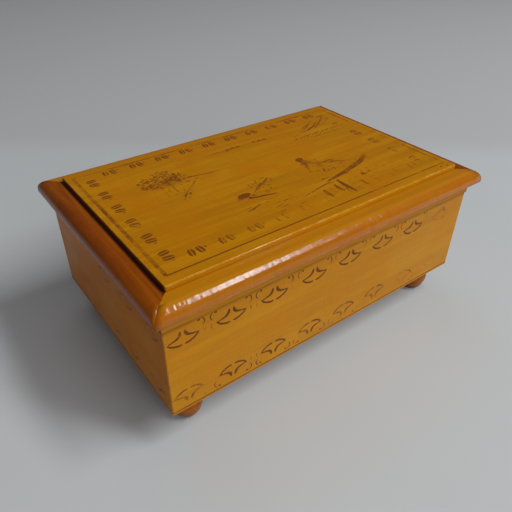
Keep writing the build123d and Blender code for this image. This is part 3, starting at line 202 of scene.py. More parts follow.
def varnished(
    name, grain, colours, shift=0.0, printed=False, gloss=0.30, moulding=False, seams=(), holes=(), riser_shade=None,
    ink_colour=INK, lit_band_and_lip=False,
):
    """Glossy varnished wood with its grain along one axis, an optional worn print, and darker bands along the seam
    lines, partly grime and partly painted shade in the joints and under the lid's overhang.

    Each seam is a height, how far its darkening reaches, and its strength; each hole is a place and a radius, drawn
    as a dark spot that paints the shade inside a small hole. The riser shade is a step over the distance beyond the
    panel's
    ends: where it starts and stops, and its strengths there; it paints the shade on the panel's sides and the shadow
    they cast on the band beside them.
    """
    light, dark, warm = colours
    if moulding:
        figure, ribs, pitting, film_depth, coat_ior = 0.26, 1.8, 0.30, 0.06, 1.50
    else:
        figure, ribs, pitting, film_depth, coat_ior = 0.12, 0.2, 0.16, 0.035, 1.36
    g = Graph(name)
    bands = g.noise(sizes(grain, 70, 4.5), 3, 0.55, 0.8, shift)
    fibres = g.noise(sizes(grain, 7, 0.32), 3, 0.6, 0.1, shift + 5)
    flecks = g.noise(sizes(grain, 2.2, 0.16), 1, 0.5, 0.0, shift + 9)
    ripple = g.noise(sizes(grain, 0.9, 7.0), 2, 0.5, 0.3, shift + 13)
    mottle = g.noise((17, 17, 17), 3, 0.55, 0.5, shift + 21)
    colour = g.mix(g.step(bands, 0.34, 0.68), light, dark)
    colour = g.mix(g.step(mottle, 0.42, 0.70, 0.0, 0.75), colour, warm)
    tone = g.plus(g.by(fibres, 0.26), g.by(ripple, figure))
    colour = g.times(colour, g.plus(tone, 1.0 - 0.13 - figure / 2))
    colour = g.mix(g.step(flecks, 0.63, 0.76, 0.0, 0.34), colour, dark)
    roughness = g.step(mottle, 0.3, 0.7, 0.34, 0.46)

    if printed:
        # The print is worn through in patches, and its edges are broken by the grain.
        patches = g.noise((9, 9, 9), 3, 0.6, 0.4, shift + 31)
        crumbs = g.noise((0.50, 0.50, 0.50), 3, 0.7, 0.0, shift + 37)
        worn = g.plus(g.by(patches, 0.55), g.by(crumbs, 0.45))
        ink = g.attribute("ink")
        kept = g.plus(g.by(ink, 0.62), worn)
        kept = g.by(g.step(kept, 0.74, 0.98, 0.0, 0.94), g.step(ink, 0.0, 0.12))
        colour = g.mix(kept, colour, ink_colour)

    # Faces marked as edges are lightened: wear on eased edges and the arris, and on the panel's rounded top edge
    # also a painted highlight.
    edge = g.attribute("edge")
    rubbed_and_glint = g.by(edge, g.step(g.noise((2.2, 2.2, 2.2), 3, 0.6, 0, shift + 43), 0.40, 0.66))
    colour = g.mix(g.by(rubbed_and_glint, 0.55), colour, RUBBED_AND_GLINT)
    xyz = g.add("SeparateXYZ", {0: g.place})
    if lit_band_and_lip:
        # Painted light: the up-facing flat band and the lip below the cove are made lighter and yellower than the
        # nose, to look lit.
        thin = g.plus(
            g.step(xyz.outputs["Z"], (BAND - 0.9) * MM, (BAND - 0.1) * MM, 0.0, 0.75),
            g.step(xyz.outputs["Z"], (RIM + 1.7) * MM, (RIM + 3.4) * MM, 0.85, 0.0),
        )
        colour = g.mix(g.by(thin, g.step(fibres, 0.2, 0.6, 0.6, 1.0)), colour, BAND_LIGHT)
    # Darker bands along each seam: partly grime, partly painted shade in the joint and under the lid's overhang.
    for level, reach, strength in seams:
        away = g.maths("ABSOLUTE", g.maths("SUBTRACT", xyz.outputs["Z"], level * MM))
        darkening = g.step(away, 0.0, reach * MM, strength, 0.0)
        uneven = g.step(g.noise(sizes(grain, 9, 1.5), 2, 0.5, 0, shift + 47), 0.25, 0.7, 0.45, 1.0)
        colour = g.mix(g.by(darkening, uneven), colour, GRIME_AND_SHADE)
    # Painted shade: the panel's sides are darkened, and on the short mouldings the band beside them, where the
    # riser's shadow falls.
    if riser_shade:
        start, stop, before, after = riser_shade
        away = g.maths("SUBTRACT", g.maths("ABSOLUTE", xyz.outputs["X"]), PANEL_L * MM)
        colour = g.mix(g.step(away, start * MM, stop * MM, before, after), colour, RISER_SHADE)
    # Dark spots that stand for small holes: painted shade, with no hole in the mesh.
    for spot, radius in holes:
        here = tuple(c * MM for c in spot)
        away = g.add("VectorMath", {0: g.place, 1: here}, operation="DISTANCE").outputs["Value"]
        colour = g.mix(g.step(away, radius * 0.6 * MM, radius * MM, 0.92, 0.0), colour, HOLE_SHADE)

    if moulding:
        # Less varnish is left in the cove and on the lip below it.
        gloss = g.step(xyz.outputs["Z"], (RIM + 3.0) * MM, (RIM + 6.3) * MM, gloss * 0.2, gloss)
    scuffs = g.noise(sizes(grain, 14, 0.9), 4, 0.7, 1.6, shift + 53)
    roughness = g.plus(roughness, g.step(scuffs, 0.60, 0.80, 0.0, 0.14))
    grain_bump = g.bump(g.plus(fibres, g.by(flecks, -0.6)), 0.018)
    brushed = g.noise(sizes(grain, 26, 2.4), 2, 0.5, 0.4, shift + 61)
    pits = g.noise((0.75, 0.75, 0.75), 2, 0.5, 0.0, shift + 67)
    film = g.plus(brushed, g.by(pits, pitting))
    film = g.plus(film, g.by(ripple, ribs))
    g.surface(
        Base_Color=colour, Roughness=roughness, Normal=grain_bump, Coat_Weight=gloss,
        Coat_Roughness=0.12, Coat_IOR=coat_ior, Specular_IOR_Level=0.05,
        Coat_Normal=g.bump(film, film_depth),
    )
    return g.material


def bare_wood(name, grain, light, dark, shift=0.0):
    """Thinly finished or raw wood, for the inside and underneath."""
    g = Graph(name)
    bands = g.noise(sizes(grain, 80, 2.6), 3, 0.55, 1.0, shift)
    fibres = g.noise(sizes(grain, 5, 0.24), 3, 0.6, 0.1, shift + 5)
    pores = g.noise(sizes(grain, 1.6, 0.13), 1, 0.5, 0.0, shift + 9)
    colour = g.mix(g.step(bands, 0.36, 0.66), light, dark)
    colour = g.times(colour, g.plus(g.by(fibres, 0.4), 0.8))
    colour = g.mix(g.step(pores, 0.62, 0.74, 0.0, 0.45), colour, tuple(c * 0.45 for c in dark[:3]) + (1,))
    g.surface(
        Base_Color=colour, Roughness=g.step(fibres, 0.3, 0.7, 0.47, 0.65),
        Coat_Weight=0.15, Coat_Roughness=0.3, Normal=g.bump(g.plus(fibres, pores), 0.03),
    )
    return g.material


def turned_wood(name, centre):
    """The stained feet: rings from the lathe round an upright axis, and gloss."""
    g = Graph(name)
    local = g.add("VectorMath", {0: g.place, 1: tuple(c * MM for c in centre)},
                  operation="SUBTRACT").outputs[0]
    xyz = g.add("SeparateXYZ", {0: local})
    fibres = g.noise((0.35, 0.35, 5), 3, 0.6, 0.2, centre[0])
    mottle = g.noise((4, 4, 4), 3, 0.6, 0.4, centre[1])
    colour = g.mix(g.step(mottle, 0.35, 0.7), (0.38, 0.110, 0.003, 1), (0.24, 0.054, 0.002, 1))
    colour = g.times(colour, g.plus(g.by(fibres, 0.5), 0.75))
    lathe = g.maths("SINE", g.by(xyz.outputs["Z"], 2 * math.pi / (0.42 * MM)))
    height = g.plus(g.by(lathe, 0.16), fibres)
    # Darker towards the floor, over the bottom 2.4 mm of each foot.
    darkening = g.step(xyz.outputs["Z"], 0.2 * MM, 2.4 * MM, 0.75, 0.0)
    colour = g.mix(darkening, colour, (0.045, 0.018, 0.010, 1))
    g.surface(
        Base_Color=colour, Roughness=g.step(mottle, 0.3, 0.7, 0.30, 0.45), Normal=g.bump(height, 0.016),
        Coat_Weight=0.45, Coat_Roughness=0.12, Coat_IOR=1.36, Specular_IOR_Level=0.06,
    )
    return g.material


def metal(name, colour, tarnish, roughness, lines=(6, 0.06, 6), depth=0.004, spots=0.25, shift=0.0):
    """Worked metal: tool lines, a roughness that varies with handling, and patches of tarnish."""
    g = Graph(name)
    tool = g.noise(lines, 2, 0.6, 0.0, shift)
    patch = g.noise((3.5, 3.5, 3.5), 4, 0.65, 0.6, shift + 3)
    speck = g.noise((0.3, 0.3, 0.3), 2, 0.6, 0.0, shift + 7)
    tint = g.mix(g.step(patch, 0.44, 0.74, 0.0, spots), colour, tarnish)
    tint = g.mix(g.step(speck, 0.66, 0.80, 0.0, spots), tint, tarnish)
    tint = g.times(tint, g.plus(g.by(tool, 0.16), 0.92))
    rough = g.plus(g.step(patch, 0.3, 0.75, roughness * 0.75, roughness * 1.5), g.by(tool, 0.06))
    g.surface(
        Base_Color=tint, Metallic=1.0, Roughness=rough,
        Normal=g.bump(g.plus(tool, g.by(speck, 0.5)), depth),
    )
    return g.material


def cast_gilt(name):
    """The bedplate: a sand casting, filed flat on top and gilded with fine frosting."""
    g = Graph(name)
    grit = g.noise((0.18, 0.18, 0.18), 3, 0.7)
    patch = g.noise((6, 6, 6), 4, 0.6, 0.5, 4)
    colour = g.mix(g.step(patch, 0.35, 0.7), (0.66, 0.47, 0.19, 1), (0.50, 0.33, 0.12, 1))
    colour = g.times(colour, g.plus(g.by(grit, 0.5), 0.75))
    g.surface(
        Base_Color=colour, Metallic=0.9, Roughness=g.step(grit, 0.3, 0.7, 0.38, 0.56),
        Normal=g.bump(grit, 0.035)
    )
    return g.material


def velvet(name, deep, bright, shift=0.0):
    """Short-pile velvet: a soft sheen, brushed patches where the pile lies over, and a fine nap."""
    g = Graph(name)
    nap = g.noise((0.16, 0.16, 0.16), 2, 0.7, 0.0, shift)
    brushed = g.noise((7, 11, 7), 3, 0.55, 1.2, shift + 3)
    pressed = g.noise((24, 24, 24), 2, 0.5, 0.6, shift + 8)
    lie = g.plus(g.by(brushed, 0.65), g.by(pressed, 0.35))
    colour = g.mix(g.step(lie, 0.36, 0.64), deep, bright)
    colour = g.times(colour, g.plus(g.by(nap, 0.9), 0.55))
    height = g.plus(g.by(nap, 0.4), g.by(lie, 0.6))
    g.surface(
        Base_Color=colour, Roughness=0.92, Specular_IOR_Level=0.15, Sheen_Weight=0.55, Sheen_Roughness=0.35,
        Sheen_Tint=(0.95, 0.35, 0.38, 1), Normal=g.bump(height, 0.10),
    )
    return g.material


def pane(name):
    """Old float glass with a little dust and a greenish ground edge."""
    g = Graph(name)
    dust = g.noise((5, 5, 5), 5, 0.7, 0.5)
    g.surface(
        Base_Color=(0.90, 0.97, 0.94, 1), Transmission_Weight=1.0, IOR=1.5,
        Roughness=g.step(dust, 0.45, 0.85, 0.0, 0.10), Normal=g.bump(g.noise((30, 30, 30), 1), 0.02),
    )
    return g.material


# Seam bands on the walls and on the mouldings' lip: grime, and painted shade under the lid's overhang and in the
# joints.
wall_seams = ((RIM, 1.6, 0.55), (WALL_LOW, 0.4, 0.55))
lid_seams = ((RIM, 0.7, 0.6),)
MATERIALS = {
    "front_wood": varnished("front_wood", 0, HONEY, 1.0, printed=True, seams=wall_seams),
    "back_wood": varnished("back_wood", 0, HONEY, 4.0, printed=True, seams=wall_seams),
    # The short walls' redder wood is partly painted warm shade.
    "left_wood": varnished("left_wood", 1, UMBER_WARM_SHADE, 7.0, printed=True, gloss=0.14, seams=wall_seams),
    "right_wood": varnished("right_wood", 1, UMBER_WARM_SHADE, 11.0, printed=True, gloss=0.14, seams=wall_seams),
    # The panel's sides and the foot of its riser are darkened as painted shade; two dark spots paint the shade
    # inside small holes.
    "panel_wood": varnished(
        "panel_wood", 0, AMBER, 15.0, printed=True, gloss=0.35, ink_colour=FADED_INK,
        riser_shade=(-0.45, -0.08, 0.0, 0.93), seams=((BAND, 0.5, 0.45),),
        holes=(((54.5, -35.4, LID_TOP), 0.45), ((57.6, -35.9, LID_TOP), 0.3)),
    ),
    # The lighter flat band and lip on the long mouldings are painted light.
    "long_moulding": varnished("long_moulding", 0, ORANGE, 18.0, gloss=0.9, moulding=True, seams=lid_seams,
                               lit_band_and_lip=True),
    # A darker, redder copy of the moulding wood, partly painted shade of the side in shade; the dark band by the
    # panel's ends is the riser's painted shadow.
    "short_moulding": varnished("short_moulding", 1, RUSSET_SHADED, 23.0, gloss=0.6, moulding=True, seams=lid_seams,
                                riser_shade=(0.1, 1.3, 0.85, 0.0)),
    # The board is darkened at its joint with the walls and along its lower edge: grime and painted shade.
    "board": varnished("board", 0, HONEY, 27.0, seams=((WALL_LOW, 0.5, 0.9), (FOOT_HEIGHT, 0.5, 0.5))),
    "inner_wood": bare_wood("inner_wood", 1, (0.42, 0.20, 0.06, 1), (0.27, 0.11, 0.03, 1), 31.0),
    "velvet": velvet("velvet", (0.075, 0.004, 0.010, 1), (0.170, 0.010, 0.020, 1)),
    "glass": pane("glass"),
    "brass": metal("brass", (0.86, 0.60, 0.24, 1), (0.42, 0.25, 0.09, 1), 0.20, shift=2),
    "plate_brass": metal("plate_brass", (0.80, 0.58, 0.26, 1), (0.38, 0.24, 0.09, 1), 0.26, (0.05, 4, 4),
                         shift=6),
    "cylinder_brass": metal("cylinder_brass", (0.84, 0.62, 0.28, 1), (0.45, 0.28, 0.10, 1), 0.18,
                            (5, 0.05, 5), shift=9),
    "hinge_brass": metal("hinge_brass", (0.62, 0.43, 0.17, 1), (0.20, 0.12, 0.05, 1), 0.34, (4, 0.08, 4),
                         0.008, 0.7),
    "gilt": cast_gilt("gilt"),
    "comb_steel": metal("comb_steel", (0.66, 0.67, 0.70, 1), (0.42, 0.38, 0.33, 1), 0.22, (0.06, 5, 5),
                        shift=12),
    "steel": metal("steel", (0.62, 0.62, 0.63, 1), (0.30, 0.25, 0.20, 1), 0.24, (1, 1, 0.07), shift=15),
    "key_steel": metal("key_steel", (0.56, 0.56, 0.57, 1), (0.24, 0.17, 0.11, 1), 0.32, (0.5, 0.5, 0.12),
                       0.008, 0.55),
    "blued": metal("blued", (0.075, 0.10, 0.26, 1), (0.20, 0.13, 0.14, 1), 0.18, (0.6, 0.05, 0.6), 0.003,
                   0.3),
    "spring_blue": metal("spring_blue", (0.10, 0.13, 0.24, 1), (0.16, 0.14, 0.12, 1), 0.28, (1, 1, 0.1),
                         0.004, 0.4),
    "lead": metal("lead", (0.22, 0.22, 0.23, 1), (0.12, 0.12, 0.12, 1), 0.62, (0.4, 0.4, 0.4), 0.02, 0.6),
    "zinc": metal("zinc", (0.52, 0.52, 0.50, 1), (0.25, 0.20, 0.15, 1), 0.40, (0.3, 0.3, 0.3), 0.010, 0.6),
}

CAD_LOOKS = {
    "board": "bottom_board",
    "inner_wood": "partition glass_ledges",
    "glass": "glass_cover",
    "brass": "glass_brads great_wheel second_wheel third_wheel governor_fan contrate_wheel",
    "zinc": "foot_screws movement_screws",
    "steel": "hinge_pins cylinder_arbor drive_pinion worm stop_rod winding_arbor",
    "hinge_brass": "hinge_screws_case hinge_screws_lid hinge_left_case_leaf hinge_left_lid_leaf "
                   "hinge_right_case_leaf hinge_right_lid_leaf",
    "gilt": "bedplate",
    "comb_steel": "comb",
    "lead": "comb_weights",
    "blued": "comb_screws frame_screws",
    "cylinder_brass": "pinned_cylinder barrel_drum",
    "plate_brass": "governor_plate_rear governor_plate_front governor_bracket bearing_post barrel_cap barrel_bridge",
    "spring_blue": "stop_spring mainspring clutch_spring",
    "key_steel": "winding_key",
}
for material, names in CAD_LOOKS.items():
    for name in names.split():
        NODES[name].data.materials.clear()
        NODES[name].data.materials.append(MATERIALS[material])


# ================================================================== meshes
def mesh_of(name, bm):
    """A mesh from a bmesh, which is freed."""
    mesh = bpy.data.meshes.new(name)
    bm.to_mesh(mesh)
    bm.free()
    return mesh


def add_object(name, data):
    """An object in the scene from its mesh, lamp or camera data."""
    made = bpy.data.objects.new(name, data)
    bpy.context.scene.collection.objects.link(made)
    return made


def finish_piece(name, bm, material, body, replaced):
    """Makes an object from a bmesh in millimetres, parents it to its body's empty, and hides the CAD node it
    replaces.
    """
    bmesh.ops.recalc_face_normals(bm, faces=bm.faces)
    bmesh.ops.scale(bm, vec=(MM, MM, MM), verts=bm.verts)
    mesh = mesh_of(name, bm)
    mesh.materials.append(MATERIALS[material])
    piece = add_object(name, mesh)
    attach(piece, body)
    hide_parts(replaced)
    return piece


def bridge(bm, lower, upper):
    """Quads between two rings of as many vertices."""
    made = []
    for i in range(len(lower)):
        j = (i + 1) % len(lower)
        face = bm.faces.new((lower[i], lower[j], upper[j], upper[i]))
        face.smooth = True
        made.append(face)
    return made


# ------------------------------------------------------------------ print strokes, as outlines with a strength
def stroke(points, widths, strength=1.0):
    """The outline of a stroke along points, whose width at each point is in widths. Its ends are blunt."""
    if not isinstance(widths, (list, tuple)):
        widths = [widths] * len(points)
    points = [Vector(p) for p in points]
    left, right = [], []
    for i, p in enumerate(points):
        ahead = points[min(i + 1, len(points) - 1)] - points[max(i - 1, 0)]
        side = Vector((-ahead.y, ahead.x)).normalized() * widths[i] / 2
        left.append(p + side)
        right.append(p - side)
    return left + right[::-1], strength


def curve(points, widths, strength=1.0, steps=5):
    """A stroke along a smooth curve through points; the widths are interpolated as well."""
    points = [Vector(p) for p in points]
    padded = [2 * points[0] - points[1], *points, 2 * points[-1] - points[-2]]
    path, wide = [], []
    for i in range(len(points) - 1):
        a, b, c, d = padded[i : i + 4]
        for k in range(steps + (i == len(points) - 2)):
            t = k / steps
            path.append(
                0.5 * (2 * b + (c - a) * t + (2 * a - 5 * b + 4 * c - d) * t**2 + (3 * b - a - 3 * c + d) * t**3)
            )
            wide.append(widths[i] * (1 - t) + widths[i + 1] * t)
    return stroke(path, wide, strength)


def oval(centre, across, along, turn=0.0, strength=1.0, sides=12):
    points = []
    for k in range(sides):
        a = 2 * math.pi * k / sides
        x, y = across / 2 * math.cos(a), along / 2 * math.sin(a)
        points.append(
            Vector((centre[0] + x * math.cos(turn) - y * math.sin(turn),
                    centre[1] + x * math.sin(turn) + y * math.cos(turn)))
        )
    return points, strength


def arc(centre, radius, start, stop, width, strength=1.0, steps=9):
    """A thin round stroke, from start to stop degrees, that tapers at both ends."""
    path, wide = [], []
    for k in range(steps + 1):
        t = k / steps
        a = math.radians(start + (stop - start) * t)
        path.append((centre[0] + radius * math.cos(a), centre[1] + radius * math.sin(a)))
        wide.append(width * (0.35 + 0.65 * math.sin(math.pi * t)))
    return stroke(path, wide, strength)


def mirrored(shapes, flip_x=False, flip_y=False, move=(0, 0), strength=1.0):
    made = []
    for outline, s in shapes:
        made.append(
            ([Vector(((-p.x if flip_x else p.x) + move[0],
                      (-p.y if flip_y else p.y) + move[1])) for p in outline],
             s * strength)
        )
    return made


def wall_motif():
    """A printed sprig: two horns that flare over a broken bow, with a curl and a dot on each side."""
    half = [
        curve([(0.78, 5.05), (0.86, 4.25), (1.16, 3.45), (1.95, 2.78), (3.20, 2.42), (4.55, 2.18)],
              [0.40, 0.92, 1.05, 0.88, 0.62, 0.40]),
        curve([(0.45, 0.06), (1.50, 0.02), (2.75, 0.40), (3.95, 1.02), (4.90, 1.90)],
              [0.50, 0.80, 0.72, 0.70, 0.45]),
        oval((4.75, 2.05), 1.15, 0.55, 0.35),
        oval((5.25, 6.15), 0.95, 0.80, 0.2, 0.95),
        arc((5.45, 5.05), 1.60, 74, -58, 0.46, 0.80),
        curve([(6.70, 0.60), (6.90, 1.60), (6.65, 2.60)], [0.15, 0.38, 0.15], 0.55),
        curve([(0.35, 6.75), (1.10, 6.95), (1.75, 6.70)], [0.15, 0.36, 0.12], 0.52),
        oval((2.65, 5.35), 0.70, 0.42, 0.5, 0.42),
        curve([(7.30, 3.60), (7.75, 3.85), (8.15, 3.60)], [0.12, 0.32, 0.12], 0.45),
    ]
    return half + mirrored(half, flip_x=True)


MOTIF_PITCH = 15.87
ROW_SHIFT = -3.55
TOP_ROW, BOTTOM_ROW = 7.3, 7.6  # the bows, below the rim and above the walls' foot


def motif_rows(half_length, strengths, shift, seed):
    """Two rows of the sprig along a wall, the lower one upside down, with how much ink is left of each pair."""
    rng = random.Random(seed)
    shapes = []
    for n, (upper, lower) in enumerate(strengths):
        u = (n - (len(strengths) - 1) / 2) * MOTIF_PITCH + shift
        for upside_down, left in ((False, upper), (True, lower)):
            base = WALL_LOW + BOTTOM_ROW if upside_down else RIM - TOP_ROW
            move = (u + rng.uniform(-0.15, 0.15), base + rng.uniform(-0.1, 0.1))
            shapes += mirrored(wall_motif(), False, upside_down, move, left)
    limit = half_length - 0.55
    return [(o, s) for o, s in shapes if all(abs(p.x) < limit and WALL_LOW + 0.6 < p.y < RIM - 0.5 for p in o)]


def inlay(bm, ring, outline, strokes, to_world, ink_layer):
    """Fills a flat ring of vertices with triangles whose edges follow the strokes, and writes the ink's strength."""
    points = [Vector(p) for p in outline]
    loops = [list(range(len(points)))]
    strengths = [0.0]
    for shape, strength in strokes:
        shape = [Vector(p) for p in shape]
        turning = sum(a.cross(b) for a, b in zip(shape, shape[1:] + shape[:1]))
        loops.append(list(range(len(points), len(points) + len(shape))))
        points += shape if turning > 0 else shape[::-1]
        strengths.append(strength)
    verts, _, faces, from_verts, _, from_faces = delaunay_2d_cdt(points, [], loops, 1, 1e-5, True)
    made = []
    for v, sources in zip(verts, from_verts):
        kept = [s for s in sources if s < len(outline)]
        made.append(ring[kept[0]] if kept else bm.verts.new(to_world(v.x, v.y)))
    for corners, sources in zip(faces, from_faces):
        if len(set(corners)) < 3:
            continue
        face = bm.faces.new([made[c] for c in corners])
        face.smooth = False
        face[ink_layer] = max(strengths[s] for s in sources) if sources else 0.0


# ------------------------------------------------------------------ case walls
CORNER = 0.5
EASE = 0.3
ARC_STEPS = 4


def make_wall(side, half_length, half_depth, turn, strengths, shift, seed, seats=()):
    """One mitred wall, rabbeted over the board. Its rounded corners are shared between neighbours."""
    plan = []
    for k in range(ARC_STEPS + 1):
        a = math.radians(135 - 45 * k / ARC_STEPS)
        plan.append((-half_length + CORNER + CORNER * math.cos(a), CORNER * math.sin(a) - CORNER))
    plan += [(-x, w) for x, w in reversed(plan)]
    eases = [math.radians(90 * k / ARC_STEPS) for k in range(ARC_STEPS + 1)]
    levels = [(WALL_LOW + EASE - EASE * math.cos(a), EASE - EASE * math.sin(a)) for a in eases]
    levels += [(RIM - EASE + EASE * math.sin(a), EASE - EASE * math.cos(a)) for a in eases]
    rotation = Matrix.Rotation(turn, 4, "Z")

    def world(u, v, w):
        return rotation @ Vector((u, -half_depth - w, v))

    bm = bmesh.new()
    ink_layer = bm.faces.layers.float.new("ink")
    edge_layer = bm.faces.layers.float.new("edge")
    columns = [[bm.verts.new(world(u, z, w - inset)) for z, inset in levels] for u, w in plan]
    last = len(plan) - 1
    for j, (here, after) in enumerate(zip(columns, columns[1:])):
        for k in range(len(levels) - 1):
            if j == ARC_STEPS and k == ARC_STEPS:
                continue
            face = bm.faces.new((here[k], after[k], after[k + 1], here[k + 1]))
            face.smooth = True
            face[edge_layer] = 1.0
    inner = []
    for sign in (-1, 1):
        steps = ((RABBET, WALL_LOW), (RABBET, BOARD_TOP), (WALL, BOARD_TOP), (WALL, RIM))
        inner.append([bm.verts.new(world(sign * (half_length - d), z, -d)) for d, z in steps])
    for k in range(3):
        bm.faces.new((inner[0][k], inner[1][k], inner[1][k + 1], inner[0][k + 1]))
    bm.faces.new(columns[0] + inner[0][::-1])
    bm.faces.new(columns[last][::-1] + inner[1])
    bm.faces.new([c[0] for c in columns] + [inner[1][0], inner[0][0]])
    bm.faces.new([c[-1] for c in columns] + [inner[1][-1], inner[0][-1]])
    flat = half_length - CORNER
    low, high = levels[ARC_STEPS][0], levels[ARC_STEPS + 1][0]
    left, right = columns[ARC_STEPS], columns[ARC_STEPS + 1]
    ring = [left[ARC_STEPS], right[ARC_STEPS], right[ARC_STEPS + 1], left[ARC_STEPS + 1]]
    outline = [(-flat, low), (flat, low), (flat, high), (-flat, high)]
    strokes = motif_rows(half_length, strengths, shift, seed)
    inlay(bm, ring, outline, strokes, lambda u, v: world(u, v, 0), ink_layer)
    piece = finish_piece(f"{side}_wall", bm, f"{side}_wood", "case", f"wall_{side}")
    if seats:
        cut_seats(piece, seats)


def cut_seats(piece, seats):
    """Cuts mortises, reliefs and screw holes out of a piece, as boxes in millimetres."""
    bm = bmesh.new()
    for low, high in seats:
        made = bmesh.ops.create_cube(bm, size=1.0)
        bmesh.ops.scale(bm, vec=high - low, verts=made["verts"])
        bmesh.ops.translate(bm, vec=(low + high) / 2, verts=made["verts"])
    bmesh.ops.scale(bm, vec=(MM, MM, MM), verts=bm.verts)
    cutter = add_object("seats", mesh_of("seats", bm))
    cut = piece.modifiers.new("seats", "BOOLEAN")
    cut.operation, cut.solver, cut.object = "DIFFERENCE", "EXACT", cutter
    cut.use_self = True
    bpy.context.view_layer.update()
    solid = bpy.data.meshes.new_from_object(piece.evaluated_get(bpy.context.evaluated_depsgraph_get()))
    piece.modifiers.clear()
    piece.data = solid
    bpy.data.objects.remove(cutter)


LEAF = 0.8
LEAF_SCREW_IN, SCREW_SPREAD, SCREW_HOLE = 2.1, 6.0, 0.95


def hinge_seats(lid):
    """For each hinge: the leaf's mortise, the screws' holes and, in the lid, the room for the knuckles."""
    seats = []
    for hand in ("left", "right"):
        low, high = node_box(f"hinge_{hand}_{'lid' if lid else 'case'}_leaf")
        z0, z1 = (RIM - 1, RIM + LEAF) if lid else (RIM - LEAF, RIM + 1)
        seats.append((Vector((low.x, low.y, z0)), Vector((high.x, HALF_W + (-0.2 if lid else 1), z1))))
        if lid:
            seats.append((Vector((low.x - 0.3, HALF_W - 0.3, RIM - 1)),
                          Vector((high.x + 0.3, high.y + 3, RIM + 1.55))))
        for sign in (-1, 1):
            x, y = (low.x + high.x) / 2 + SCREW_SPREAD * sign, HALF_W - LEAF_SCREW_IN
            z0, z1 = (RIM, RIM + 5.1) if lid else (RIM - 5.1, RIM)
            hole = Vector((SCREW_HOLE, SCREW_HOLE, 0))
            seats.append((Vector((x, y, z0)) - hole, Vector((x, y, z1)) + hole))
    return seats


FRONT_INK = ((0.80, 0.66), (1.0, 0.94), (0.95, 0.90), (0.86, 0.76), (0.84, 0.64), (0.80, 0.62), (0.74, 0.52),
             (0.56, 0.46))
SIDE_INK = ((0.42, 0.38), (0.48, 0.46), (0.54, 0.50), (0.58, 0.54), (0.50, 0.54))
make_wall("front", HALF_L, HALF_W, 0, FRONT_INK, ROW_SHIFT, 1)
make_wall("back", HALF_L, HALF_W, math.pi, ((0.85, 0.8),) * 8, 0.6, 2, hinge_seats(False))
make_wall("right", HALF_W, HALF_L, math.pi / 2, SIDE_INK[::-1], -0.8, 3)
make_wall("left", HALF_W, HALF_L, -math.pi / 2, SIDE_INK, 1.2, 4)


# ------------------------------------------------------------------ lid mouldings
def bulge(a, b, through, steps):
    """Points on the circle through three points of a profile, from a to b."""
    (ax, ay), (bx, by), (cx, cy) = a, through, b
    d = 2 * (ax * (by - cy) + bx * (cy - ay) + cx * (ay - by))
    ox = ((ax**2 + ay**2) * (by - cy) + (bx**2 + by**2) * (cy - ay) + (cx**2 + cy**2) * (ay - by)) / d
    oy = ((ax**2 + ay**2) * (cx - bx) + (bx**2 + by**2) * (ax - cx) + (cx**2 + cy**2) * (bx - ax)) / d
    radius = math.hypot(ax - ox, ay - oy)
    start = math.atan2(ay - oy, ax - ox)
    turn = (math.atan2(cy - oy, cx - ox) - start + math.pi) % (2 * math.pi) - math.pi
    return [(ox + radius * math.cos(start + turn * k / steps),
             oy + radius * math.sin(start + turn * k / steps))
            for k in range(1, steps + 1)]


NOSE_RISE = 5.2
LIP, LIP_HEIGHT = 0.3, 1.9
ARRIS, ARRIS_DROP = 0.1, 0.7
COVE = 0.6
ROUND_START = 0.4
NOSE_THROUGH = (-1.15, 2.85)  # a point on the nose's curve, from its outermost point
WORN_ARRIS = range(11, 15)  # the faces round the arris under the nose
MITRE_GAP = 0.012
SEGMENTS = 48


def make_moulding(side, half_length, half_depth, turn, seats):
    """One mitred strip: a plain lip, a cove, a rounded nose and a flat band."""
    nose_z = RIM + NOSE_RISE
    lip_top, edge, edge_z = RIM + LIP_HEIGHT, OVERHANG - ARRIS, nose_z - ARRIS_DROP
    hollow = ((LIP + edge) / 2 - COVE * 0.7, (lip_top + edge_z) / 2 + COVE * 0.7)
    profile = [(-PANEL_INSET, RIM), (LIP - 0.12, RIM), (LIP, RIM + 0.12), (LIP, lip_top)]
    profile += bulge((LIP, lip_top), (edge - 0.06, edge_z), hollow, 8)
    profile += bulge((edge - 0.06, edge_z), (edge + 0.04, edge_z + 0.1), (edge + 0.01, edge_z + 0.03), 2)
    profile += [(OVERHANG, nose_z)]
    profile += bulge((OVERHANG, nose_z), (-ROUND_START, BAND),
                     (OVERHANG + NOSE_THROUGH[0], nose_z + NOSE_THROUGH[1]), 18)
    profile += [(-PANEL_INSET, BAND)]
    flat = {0, 2, len(profile) - 2, len(profile) - 1}
    rotation = Matrix.Rotation(turn, 4, "Z")
    bm = bmesh.new()
    edge_layer = bm.faces.layers.float.new("edge")
    rings = []
    for k in range(SEGMENTS + 1):
        t = 2 * k / SEGMENTS - 1
        points = [(t * (half_length + w - MITRE_GAP), -half_depth - w, z) for w, z in profile]
        rings.append([bm.verts.new(rotation @ Vector(p)) for p in points])
    for lower, upper in zip(rings, rings[1:]):
        for i, face in enumerate(bridge(bm, lower, upper)):
            face.smooth = i not in flat
            face[edge_layer] = 0.3 if i in WORN_ARRIS else 0.0
    bm.faces.new(rings[0][::-1]).smooth = False
    bm.faces.new(rings[-1]).smooth = False
    wood = "long_moulding" if side in ("front", "back") else "short_moulding"
    piece = finish_piece(f"moulding_{side}", bm, wood, "lid", f"lid_moulding_{side}")
    if seats:
        cut_seats(piece, seats)


make_moulding("front", HALF_L, HALF_W, 0, ())
make_moulding("right", HALF_W, HALF_L, math.pi / 2, ())
make_moulding("back", HALF_L, HALF_W, math.pi, hinge_seats(True))
make_moulding("left", HALF_W, HALF_L, -math.pi / 2, ())


